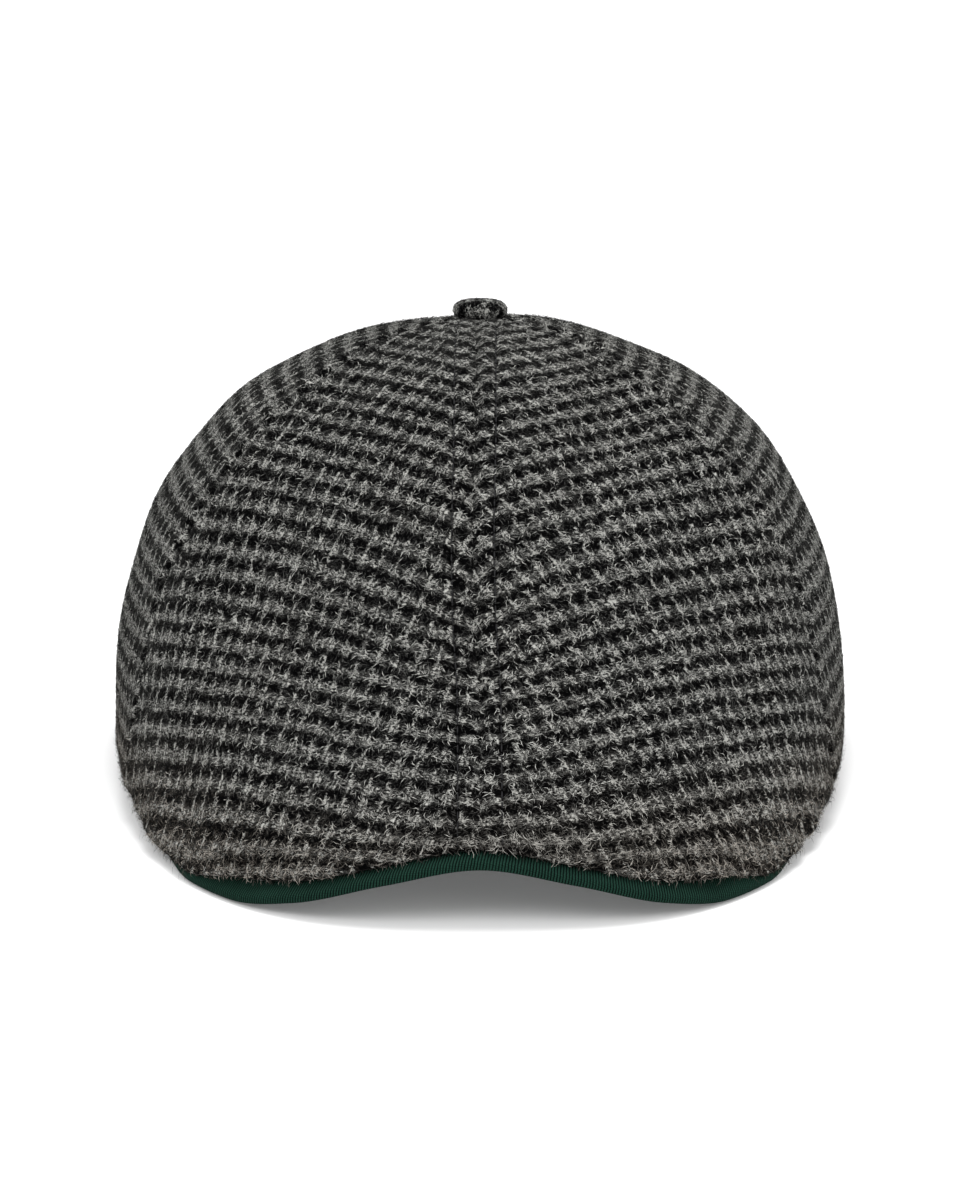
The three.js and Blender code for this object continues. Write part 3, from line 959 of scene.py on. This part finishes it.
def thread_material(tools):
    """Dark sewing thread with its twist."""
    material, tree, shader = new_material("Sewing thread")
    twist = node(tree, "ShaderNodeTexWave", Vector=object_place(tree), Scale=900.0, Distortion=3.0)
    dark, light = scaled(tools.colours.thread, 1.0), scaled(tools.colours.thread, 2.2)
    colour = mixed(tree, twist.outputs["Fac"], dark, light)
    paint(tree, shader, colour, roughness=0.7, specular=0.3)
    return material


class Tools:
    """The cap's sizes, colours, shader groups and materials, made once."""

    kept = None

    def __init__(self, scene):
        self.sizes, self.colours = scene.cap_sizes, scene.cap_colours
        self.tweed, self.felt, self.twill = tweed_group(self.sizes), felt_group(), twill_group()
        self.wool = wool_material(self)
        self.fibre = fibre_material(self)
        self.backing = backing_material(self)
        self.green = twill_material(self)
        self.band = band_material(self)
        self.thread = thread_material(self)

    @classmethod
    def of(cls, context):
        if cls.kept is None:
            cls.kept = cls(context.scene)
        return cls.kept


# ---------------------------------------------------------------- geometry node trees


def new_geometry_tree(name, inputs):
    geometry = ("Geometry", "Geometry")
    return new_tree("GeometryNodeTree", name, [(*geometry, None), *inputs], [geometry])


def position_axes(tree):
    return axes_of(tree, node(tree, "GeometryNodeInputPosition").outputs[0])


def grown(source, tree, name, **values):
    """Runs a geometry tree on an object and keeps the result as a plain mesh object in its place."""
    modifier = source.modifiers.new("Nodes", "NODES")
    modifier.node_group = tree
    sockets = [item for item in tree.interface.items_tree if item.in_out == "INPUT"]
    names = {socket.name: socket.identifier for socket in sockets}
    for key, value in values.items():
        modifier[names[key.replace("_", " ")]] = value
    bpy.context.view_layer.update()
    evaluated = source.evaluated_get(bpy.context.evaluated_depsgraph_get())
    mesh = bpy.data.meshes.new_from_object(evaluated)
    source.modifiers.remove(modifier)
    mesh.name = name
    made = bpy.data.objects.new(name, mesh)
    bpy.context.collection.objects.link(made)
    bpy.data.objects.remove(source)
    return made


# How far each kind of fibre bends sideways and arches up, in its own lengths.
FIBRE_SHAPES = ((0.16, 0.09), (-0.13, 0.13), (0.05, 0.17), (-0.24, 0.07))


def fibre_tree():
    """Scatters short curved fibres over a surface and keeps each one's place on the cloth."""
    tree, given, put = new_geometry_tree(
        "Loose fibres",
        [
            ("Density", "Float", 3000.0),
            ("Length", "Float", 0.002),
            ("Width", "Float", 0.00008),
            ("Lift", "Float", 0.4),
            ("Seed", "Int", 1),
            ("Material", "Material", None),
        ],
    )
    seed = given.outputs["Seed"]
    growth = node(tree, "GeometryNodeInputNamedAttribute", {"data_type": "FLOAT"}, Name="growth").outputs[0]
    points = node(
        tree,
        "GeometryNodeDistributePointsOnFaces",
        Mesh=given.outputs["Geometry"],
        Density=Wire(tree, given.outputs["Density"]) * Wire(tree, growth),
        Seed=seed,
    )

    # Hairs of one unit length that bend by different amounts. Each is one slim kite, bent at its middle.
    shapes = tree.nodes.new("GeometryNodeJoinGeometry")
    for bend, arch in FIBRE_SHAPES:
        kite = node(tree, "GeometryNodeMeshGrid", Size_X=1.0, Size_Y=1.0, Vertices_X=2, Vertices_Y=2)
        first, second, _ = position_axes(tree)
        along = first + second
        middle = along * along * -1.0 + 1.0
        slim = Wire(tree, given.outputs["Width"]) / Wire(tree, given.outputs["Length"]) * 0.5
        bent = vector_of(tree, along * 0.5 + 0.5, (second - first) * slim + middle * bend, middle * arch)
        moved = node(tree, "GeometryNodeSetPosition", Geometry=kite.outputs["Mesh"], Position=bent)
        single = node(tree, "GeometryNodeGeometryToInstance", Geometry=moved.outputs[0])
        plug(tree, single.outputs[0], shapes.inputs[0])

    def chance(low, high, offset, kind="FLOAT"):
        made = node(tree, "FunctionNodeRandomValue", {"data_type": kind})
        slots = {"FLOAT": (2, 3), "INT": (4, 5)}[kind]
        made.inputs[slots[0]].default_value = low
        made.inputs[slots[1]].default_value = high
        plug(tree, Wire(tree, seed) + offset, made.inputs["Seed"])
        return made.outputs[{"FLOAT": 1, "INT": 2}[kind]]

    tip_up = Wire(tree, chance(-0.9, 0.25, 2)) * Wire(tree, given.outputs["Lift"])
    rotation, local = points.outputs["Rotation"], {"rotation_space": "LOCAL"}
    for axis, angle in (((0.0, 0.0, 1.0), chance(0.0, 2 * math.pi, 1)), ((0.0, 1.0, 0.0), tip_up)):
        by = node(tree, "FunctionNodeAxisAngleToRotation", Axis=axis, Angle=angle).outputs[0]
        turning = node(tree, "FunctionNodeRotateRotation", local, Rotation=rotation, Rotate_By=by)
        rotation = turning.outputs[0]
    scale = Wire(tree, chance(0.45, 1.5, 3)) * Wire(tree, given.outputs["Length"])
    placed = node(
        tree,
        "GeometryNodeInstanceOnPoints",
        Points=points.outputs["Points"],
        Instance=shapes.outputs[0],
        Pick_Instance=True,
        Instance_Index=chance(0, 3, 4, "INT"),
        Rotation=rotation,
        Scale=scale,
    )
    stored = node(
        tree,
        "GeometryNodeStoreNamedAttribute",
        {"data_type": "FLOAT", "domain": "INSTANCE"},
        Geometry=placed.outputs[0],
        Name="shade",
    )
    plug(tree, chance(0.0, 1.0, 5), stored.inputs["Value"])
    real = node(tree, "GeometryNodeRealizeInstances", Geometry=stored.outputs[0])
    # Nothing reaches into the table.
    x, y, z = position_axes(tree)
    above = vector_of(tree, x, y, z.max(0.0001))
    resting = node(tree, "GeometryNodeSetPosition", Geometry=real.outputs[0], Position=above)
    finish = given.outputs["Material"]
    painted = node(tree, "GeometryNodeSetMaterial", Geometry=resting.outputs[0], Material=finish)
    plug(tree, painted.outputs[0], put.inputs[0])
    return tree


def stitch_tree():
    """Lays stitches end to end along a line of sewing, each sunk at its ends."""
    tree, given, put = new_geometry_tree(
        "Row of stitches",
        [
            ("Pitch", "Float", 0.003),
            ("Thickness", "Float", 0.0004),
            ("Material", "Material", None),
        ],
    )
    pitch, thick = Wire(tree, given.outputs["Pitch"]), Wire(tree, given.outputs["Thickness"])
    line = node(tree, "GeometryNodeMeshToCurve", Mesh=given.outputs["Geometry"]).outputs[0]
    dotted = node(tree, "GeometryNodeCurveToPoints", {"mode": "LENGTH"}, Curve=line, Length=pitch)
    tube = node(tree, "GeometryNodeMeshCylinder", {"fill_type": "NGON"}, Vertices=6, Side_Segments=6)
    plug(tree, thick * 0.5, tube.inputs["Radius"])
    plug(tree, pitch * 0.82, tube.inputs["Depth"])
    x, y, z = position_axes(tree)
    along = z / (pitch * 0.41)
    slim = (along * along * -0.55 + 1.0).max(0.0)
    bent = vector_of(tree, x * slim, y * slim, z)
    shaped = node(tree, "GeometryNodeSetPosition", Geometry=tube.outputs["Mesh"], Position=bent)
    placed = node(
        tree,
        "GeometryNodeInstanceOnPoints",
        Points=dotted.outputs["Points"],
        Instance=shaped.outputs[0],
        Rotation=dotted.outputs["Rotation"],
    )
    real = node(tree, "GeometryNodeRealizeInstances", Geometry=placed.outputs[0])
    smooth = node(tree, "GeometryNodeSetShadeSmooth", Geometry=real.outputs[0])
    finish = given.outputs["Material"]
    painted = node(tree, "GeometryNodeSetMaterial", Geometry=smooth.outputs[0], Material=finish)
    plug(tree, painted.outputs[0], put.inputs[0])
    return tree


# ---------------------------------------------------------------- settings


def length_setting(name, description, default):
    return bpy.props.FloatProperty(
        name=name, description=description, default=default, unit="LENGTH", precision=5
    )


def colour_setting(name, description, *default):
    return bpy.props.FloatVectorProperty(
        name=name, description=description, subtype="COLOR", default=default
    )


class CapSizes(bpy.types.PropertyGroup):
    repeat_across: length_setting("Repeat across", "Width of one repeat of the tweed", 0.00485)
    repeat_up: length_setting("Repeat up", "Height of one band of the tweed", 0.0059)
    seam_depth: length_setting("Seam depth", "How far the cloth sinks into a seam", 0.0008)
    stitch_offset: length_setting("Stitch offset", "Middle seam to each row of stitches", 0.0057)
    stitch_pitch: length_setting("Stitch length", "Length of one stitch", 0.0026)
    thread_thickness: length_setting("Thread", "Thickness of the sewing thread", 0.00052)
    twill_pitch: length_setting("Twill pitch", "Distance between two lines of the twill", 0.00074)
    fibre_length: length_setting("Fibre length", "Usual length of a loose fibre", 0.0016)
    fibre_width: length_setting("Fibre width", "Width of a loose fibre", 0.00014)
    fibres: bpy.props.FloatProperty(
        name="Fibres", description="How many loose fibres grow on a square metre", default=4.4e6, min=0
    )


class CapColours(bpy.types.PropertyGroup):
    dark_yarn: colour_setting("Dark yarn", "Colour of the dark yarn", 0.0020, 0.0020, 0.0021)
    grey_yarn: colour_setting("Grey yarn", "Colour between the yarns", 0.078, 0.078, 0.074)
    pale_yarn: colour_setting("Pale yarn", "Colour of the palest yarn", 0.45, 0.45, 0.422)
    twill: colour_setting("Twill", "Colour of the peak's twill", 0.0046, 0.0148, 0.0104)
    band: colour_setting("Band", "Colour of the sweatband", 0.012, 0.012, 0.013)
    thread: colour_setting("Thread", "Colour of the sewing thread", 0.004, 0.004, 0.0045)
    table: colour_setting("Table", "Colour of the table", 0.88, 0.88, 0.88)


# ---------------------------------------------------------------- operators


class CAP_OT_panels(bpy.types.Operator):
    """Cuts and sews the six panels of the crown"""

    bl_idname = "cap.sew_panels"
    bl_label = "Sew the panels"

    def execute(self, context):
        tools = Tools.of(context)
        for kind in PANELS:
            for word, side in SIDES:
                outer, inner, cloth = panel_grids(kind, side, tools.sizes)
                rim, face = folded_rim(outer, inner), len(outer)
                rings = np.concatenate([outer, rim, inner[::-1]]).transpose(1, 0, 2)
                below = np.arange(1, len(rim) + 1)[:, None, None] * np.array([0, -0.5])
                flat = np.concatenate([cloth, cloth[-1] + below, cloth[::-1]]).transpose(1, 0, 2)
                faces, part = loft(rings)
                points = rings.reshape(-1, 3)
                points[:, 2] = np.maximum(points[:, 2], ABOVE_TABLE)
                faces = outward(points, faces)
                inside = np.where(part >= face + len(rim) - 1, 1, 0)
                name, slots = f"{kind}_{word}_tweed", (tools.wool, tools.backing)
                piece = new_object(name, points, faces, flat.reshape(-1, 2), slots, inside)
                # Painted shade along the stitched channel, by which the wool material darkens its colour.
                painted_stitch_shade = np.zeros(rings.shape[:2])
                painted_stitch_shade[:, :face] = in_stitches(kind, outer, tools.sizes, STITCH_SHADE_REACH).T
                store(piece, "painted_stitch_shade", painted_stitch_shade)
                finish_piece(piece, "wool_tweed", f"{kind}_panel_{word}")
        return {"FINISHED"}


class CAP_OT_fibres(bpy.types.Operator):
    """Raises loose fibres over the crown and its button"""

    bl_idname = "cap.raise_fibres"
    bl_label = "Raise the fibres"

    def execute(self, context):
        tools, tree = Tools.of(context), fibre_tree()
        sizes = tools.sizes
        for number, kind in enumerate(PANELS):
            for word, side in SIDES:
                outer, inner, cloth = panel_grids(kind, side, sizes)
                rim = folded_rim(outer, inner)[:3]
                grid = np.concatenate([outer, rim])
                flat = np.concatenate([cloth, np.repeat(cloth[-1:], len(rim), 0)])
                growth = 1 - in_stitches(kind, grid, sizes, BARE_REACH)
                surface = surface_object("fibre roots", grid, flat, INSIDE, growth)
                seed = 10 * number + side
                raise_fibres(surface, tree, f"{kind}_{word}_fibres", seed, tools, sizes.fibres, PANEL_LIFT)
                if kind == "front":
                    edge = surface_object("hem roots", grid[-HEM_ROWS:], flat[-HEM_ROWS:], INSIDE)
                    raise_fibres(edge, tree, f"hem_{word}_fibres", seed + 50, tools, **HEM_FIBRES)
        return {"FINISHED"}


def in_stitches(kind, grid, sizes, reach):
    """1 where the thread pulls the cloth in, down to 0 beyond its reach in millimetres."""
    stitched = from_stitched_seam(kind, spacing(grid, 1))
    if stitched is None:
        return np.zeros(grid.shape[:2])
    return ridge(stitched, sizes.stitch_offset / MM, reach)


def surface_object(name, grid, flat, outward_from, growth=None):
    """An open sheet over a grid of points, facing away from a point. growth thins the fibres on it."""
    index = np.arange(grid.shape[0] * grid.shape[1]).reshape(grid.shape[:2])
    faces = np.stack([index[:-1, :-1], index[1:, :-1], index[1:, 1:], index[:-1, 1:]], -1).reshape(-1, 4)
    p = grid.reshape(-1, 3)
    normal = np.cross(p[faces[:, 1]] - p[faces[:, 0]], p[faces[:, 2]] - p[faces[:, 0]])
    if (normal * (p[faces[:, 0]] - outward_from)).sum() < 0:
        faces = faces[:, ::-1]
    surface = new_object(name, p, faces.tolist(), flat.reshape(-1, 2))
    store(surface, "growth", np.ones(len(p)) if growth is None else growth)
    return surface


def store(thing, name, values):
    """Keeps a number for each point of a mesh, as an attribute."""
    layer = thing.data.attributes.new(name, "FLOAT", "POINT")
    layer.data.foreach_set("value", values.ravel().astype(np.float32))


def raise_fibres(surface, tree, name, seed, tools, density, lift, length=None, width=None):
    """Grows a density of fibres, in fibres for each square metre, on a surface."""
    fibres = grown(
        surface,
        tree,
        name,
        Density=density,
        Length=length or tools.sizes.fibre_length,
        Width=width or tools.sizes.fibre_width,
        Lift=lift,
        Seed=100 + seed,
        Material=tools.fibre,
    )
    return finish_piece(fibres, "wool_tweed")


class CAP_OT_stitches(bpy.types.Operator):
    """Sews a row of stitches on each side of the middle seam"""

    bl_idname = "cap.sew_stitches"
    bl_label = "Sew the stitches"

    def execute(self, context):
        tools, tree = Tools.of(context), stitch_tree()
        offset = tools.sizes.stitch_offset / MM
        for kind in ("front", "back"):
            for word, side in SIDES:
                outer, _, _ = panel_grids(kind, side, tools.sizes)
                across = spacing(outer, 1)
                if kind == "back":
                    across = across[:, -1:] - across
                line = []
                for row, distance in zip(outer, across):
                    if distance.max() < offset + 1.5:
                        continue
                    order = np.argsort(distance)
                    line.append([np.interp(offset, distance[order], row[order, k]) for k in range(3)])
                line = np.array(line[1:-1])
                steps = [[i, i + 1] for i in range(len(line) - 1)]
                mesh = bpy.data.meshes.new("sewing line")
                mesh.from_pydata((line * MM).tolist(), steps, [])
                guide = bpy.data.objects.new("sewing line", mesh)
                bpy.context.collection.objects.link(guide)
                stitches = grown(
                    guide,
                    tree,
                    f"{kind}_{word}_stitches",
                    Pitch=tools.sizes.stitch_pitch,
                    Thickness=tools.sizes.thread_thickness,
                    Material=tools.thread,
                )
                finish_piece(stitches, "wool_tweed")
        return {"FINISHED"}


class CAP_OT_peak(bpy.types.Operator):
    """Makes the stiff peak and covers it in twill"""

    bl_idname = "cap.cover_peak"
    bl_label = "Cover the peak"

    def execute(self, context):
        tools = Tools.of(context)
        middle = 90
        azimuth = np.linspace(-PEAK_END, PEAK_END, 2 * middle + 1)
        radius = PEAK_THICKNESS / 2
        edge = rim_reach(azimuth) - section("peak_back", azimuth)
        tip = np.stack([edge - radius, section("lip", azimuth) + radius], -1)
        opening = column(OPENING, OPENING_COLUMNS, "height", azimuth)
        root = np.stack([opening_reach(azimuth) + PEAK_EASE + radius, opening + radius], -1)
        fall = np.arctan2(root[:, 1] - tip[:, 1], tip[:, 0] - root[:, 0])
        normal = np.stack([np.sin(fall), np.cos(fall)], -1) * radius
        outline = [root + (tip - root) * s + normal for s in np.linspace(0, 1, 15)]
        for a in np.radians(np.linspace(90, -90, 13)[1:-1]):
            turn = a - fall
            # The edge is a little squarer than a half round, where the twill is folded over the board.
            square = 1 + 0.10 * abs(math.sin(2 * a))
            outline.append(tip + np.stack([np.cos(turn), np.sin(turn)], -1) * radius * square)
        outline += [root + (tip - root) * s - normal for s in np.linspace(1, 0, 15)]
        outline = np.array(outline)
        rings = np.stack([place(azimuth, ring[:, 0], ring[:, 1]) for ring in outline], 1)
        rings[..., 2] = np.maximum(rings[..., 2], PEAK_ABOVE_TABLE)
        nose = np.argmax(outline[:, middle, 0])
        along = spacing(rings[:, nose : nose + 1], 0)
        round_edge = spacing(rings, 1)
        flat = np.stack([along + 0 * round_edge, round_edge - round_edge[:, nose : nose + 1]], -1)
        faces, _ = loft(rings)
        points, uv = rings.reshape(-1, 3), flat.reshape(-1, 2)
        piece = new_object("peak_twill", points, outward(points, faces), uv, (tools.green,))
        finish_piece(piece, "green_twill", "peak")
        return {"FINISHED"}


class CAP_OT_sweatband(bpy.types.Operator):
    """Makes the sweatband inside the head opening"""

    bl_idname = "cap.fit_sweatband"
    bl_label = "Fit the sweatband"

    def execute(self, context):
        tools = Tools.of(context)
        azimuth = np.linspace(-180, 180, 241)[:-1]
        bottom = column(OPENING, OPENING_COLUMNS, "height", azimuth)
        around = [(0.5, 0.0), (0.12, 0.006), (0.0, 0.02), *((0.0, s) for s in np.linspace(0.06, 0.94, 12))]
        around += [(0.0, 0.98), (0.12, 0.994), (0.5, 1.0)]
        profile = around + [(1 - d, s) for d, s in reversed(around[1:-1])]
        rings = []
        for depth, s in profile:
            height = bottom + BAND_HEIGHT * s
            outer = np.minimum(opening_reach(azimuth), inner_reach(azimuth, height) - BAND_EASE)
            stitch_line = 0.25 * ridge(s, 0.12, 0.02) * (1 if depth == 1 else 0)
            rings.append(place(azimuth, outer - BAND_THICKNESS * depth + stitch_line, height))
        rings = np.array(rings).transpose(1, 0, 2)
        across = spacing(rings, 1)
        along = np.concatenate([[0], np.cumsum(np.linalg.norm(np.diff(rings[:, 0], axis=0), axis=1))])
        flat = np.stack([along[:, None] + 0 * across, across], -1)
        faces, _ = loft(rings, closed=True)
        points, uv = rings.reshape(-1, 3), flat.reshape(-1, 2)
        piece = new_object("sweatband_cloth", points, outward(points, faces), uv, (tools.band,))
        finish_piece(piece, "band_cloth", "sweatband")
        return {"FINISHED"}


def inner_reach(azimuth, height):
    """Distance from the axis to the crown's inner face at a height."""
    low, high = np.full_like(azimuth, 0.3), np.ones_like(azimuth)
    for _ in range(30):
        t = (low + high) / 2
        point = crown_point(azimuth, t)
        point = point - crown_normal(azimuth, t) * CLOTH
        above = point[:, 2] > height
        low, high = np.where(above, t, low), np.where(above, high, t)
    return np.hypot(*(point - [0, BUTTON_Y, 0])[:, :2].T)


class CAP_OT_button(bpy.types.Operator):
    """Covers the button on the top in the same tweed"""

    bl_idname = "cap.cover_button"
    bl_label = "Cover the button"

    def execute(self, context):
        tools = Tools.of(context)
        turns = np.linspace(0, 2 * math.pi, 73)[:-1]
        rings = []
        for r, h in BUTTON_PROFILE:
            distance = r * BUTTON_RADIUS
            # The cloth is gathered a little where it turns under.
            pucker = 1 + 0.012 * np.sin(turns * 13 + 1.0) * ridge(h, 0.2, 0.3)
            x, y = distance * np.sin(turns) * pucker, -distance * np.cos(turns) * pucker
            rings.append(np.stack([x, y, np.full_like(x, h * BUTTON_HEIGHT)], -1))
        rings = np.array(rings)
        # Cloth coordinates run out from the middle of the top, as the disc of cloth was cut.
        steps = np.linalg.norm(np.diff(rings[:, 0], axis=0), axis=1)
        out = np.concatenate([np.cumsum(steps[::-1])[::-1], [0]]) + BUTTON_PROFILE[-1][0] * BUTTON_RADIUS
        flat = np.stack([np.outer(out, np.sin(turns)), np.outer(out, -np.cos(turns))], -1) + BUTTON_CUT
        tilt = math.radians(-TOP_TILT)
        y, z = rings[..., 1].copy(), rings[..., 2].copy()
        rings[..., 1] = y * math.cos(tilt) - z * math.sin(tilt) + BUTTON_Y
        rings[..., 2] = y * math.sin(tilt) + z * math.cos(tilt) + CROWN_HEIGHT - BUTTON_SINK
        count, size = rings.shape[:2]
        index = np.arange(count * size).reshape(count, size)
        beside = np.roll(index, -1, axis=1)
        faces = np.stack([index[:-1], beside[:-1], beside[1:], index[1:]], -1).reshape(-1, 4).tolist()
        points = rings.reshape(-1, 3)
        middles = [rings[0].mean(0), rings[-1].mean(0)]
        points = np.concatenate([points, middles])
        uv = np.concatenate([flat.reshape(-1, 2), [flat[0].mean(0), flat[-1].mean(0)]])
        for k in range(size):
            following = (k + 1) % size
            faces.append([count * size, index[0, following], index[0, k]])
            faces.append([count * size + 1, index[-1, k], index[-1, following]])
        piece = new_object("button_tweed", points, outward(points, faces), uv, (tools.wool,))
        finish_piece(piece, "wool_tweed", "top_button")
        # Fibres grow above the turned-under rings. They lie flat on the tight cloth.
        shown, cut = (np.concatenate([grid[2:], grid[2:, :1]], 1) for grid in (rings, flat))
        centre = rings[2:].reshape(-1, 3).mean(0)
        surface = surface_object("button roots", shown, cut, outward_from=tuple(centre))
        density = BUTTON_DENSITY * tools.sizes.fibres
        raise_fibres(surface, fibre_tree(), "button_fibres", 91, tools, density, **BUTTON_FIBRES)
        return {"FINISHED"}


class CAP_OT_stage(bpy.types.Operator):
    """Sets the table, the lights and the camera"""

    bl_idname = "cap.set_stage"
    bl_label = "Set the stage"

    def execute(self, context):
        scene = context.scene
        tools = Tools.of(context)
        mesh = bpy.data.meshes.new("table")
        half = TABLE_HALF
        corners = [(-half, -half, 0), (half, -half, 0), (half, half, 0), (-half, half, 0)]
        mesh.from_pydata(corners, [], [(0, 1, 2, 3)])
        table = bpy.data.objects.new("table", mesh)
        bpy.context.collection.objects.link(table)
        material, _, shader = new_material("Pale table")
        shader.inputs["Base Color"].default_value = (*tools.colours.table, 1)
        shader.inputs["Roughness"].default_value = 0.9
        shader.inputs["Specular IOR Level"].default_value = 0.1
        shader.inputs["Emission Color"].default_value = (1, 1, 1, 1)
        shader.inputs["Emission Strength"].default_value = TABLE_GLOW
        mesh.materials.append(material)

        world = bpy.data.worlds.new("Soft room")
        scene.world = world
        world.use_nodes = True
        background = world.node_tree.nodes["Background"]
        background.inputs["Color"].default_value = (1, 1, 1, 1)
        background.inputs["Strength"].default_value = ROOM_LIGHT

        for name, size, power, spot in LIGHTS:
            light = bpy.data.lights.new(name, "AREA")
            light.shape = "DISK"
            light.size = size
            light.energy = power
            lamp = bpy.data.objects.new(name, light)
            lamp.location = spot
            aim(lamp, AIMED_AT)
            bpy.context.collection.objects.link(lamp)

        camera = bpy.data.cameras.new("camera")
        camera.lens = CAMERA_LENS
        camera.sensor_width = 36
        camera.sensor_fit = "AUTO"
        camera.clip_end = 50
        eye = bpy.data.objects.new("camera", camera)
        rise = math.radians(CAMERA_ELEVATION)
        middle = (CAD_BOX[0][2] + CAD_BOX[1][2]) / 2
        eye.location = (0, -CAMERA_DISTANCE * math.cos(rise), middle + CAMERA_DISTANCE * math.sin(rise))
        aim(eye, (0, 0, middle - CAMERA_DROP))
        bpy.context.collection.objects.link(eye)
        scene.camera = eye
        scene.view_settings.view_transform = "Standard"
        return {"FINISHED"}


def aim(thing, target):
    """Turns a light or a camera to face a point."""
    away = Vector(target) - thing.location
    thing.rotation_euler = away.to_track_quat("-Z", "Y").to_euler()


class CAP_PT_sidebar(bpy.types.Panel):
    """The cap's sizes, colours and pieces"""

    bl_idname = "CAP_PT_sidebar"
    bl_label = "Duckbill cap"
    bl_space_type = "VIEW_3D"
    bl_region_type = "UI"
    bl_category = "Cap"

    def draw(self, context):
        for group in (context.scene.cap_sizes, context.scene.cap_colours):
            box = self.layout.box()
            for name in group.__annotations__:
                box.prop(group, name)
        for operator in OPERATORS:
            self.layout.operator(operator.bl_idname)


OPERATORS = (
    CAP_OT_stage,
    CAP_OT_panels,
    CAP_OT_fibres,
    CAP_OT_stitches,
    CAP_OT_peak,
    CAP_OT_sweatband,
    CAP_OT_button,
)
CLASSES = (CapSizes, CapColours, *OPERATORS, CAP_PT_sidebar)


def register():
    for one in CLASSES:
        bpy.utils.register_class(one)
    bpy.types.Scene.cap_sizes = bpy.props.PointerProperty(type=CapSizes)
    bpy.types.Scene.cap_colours = bpy.props.PointerProperty(type=CapColours)


def unregister():
    del bpy.types.Scene.cap_sizes
    del bpy.types.Scene.cap_colours
    for one in reversed(CLASSES):
        bpy.utils.unregister_class(one)


def main():
    register()
    bpy.ops.cap.set_stage()
    bpy.ops.cap.sew_panels()
    bpy.ops.cap.raise_fibres()
    bpy.ops.cap.sew_stitches()
    bpy.ops.cap.cover_peak()
    bpy.ops.cap.fit_sweatband()
    bpy.ops.cap.cover_button()


if __name__ == "__main__":
    main()
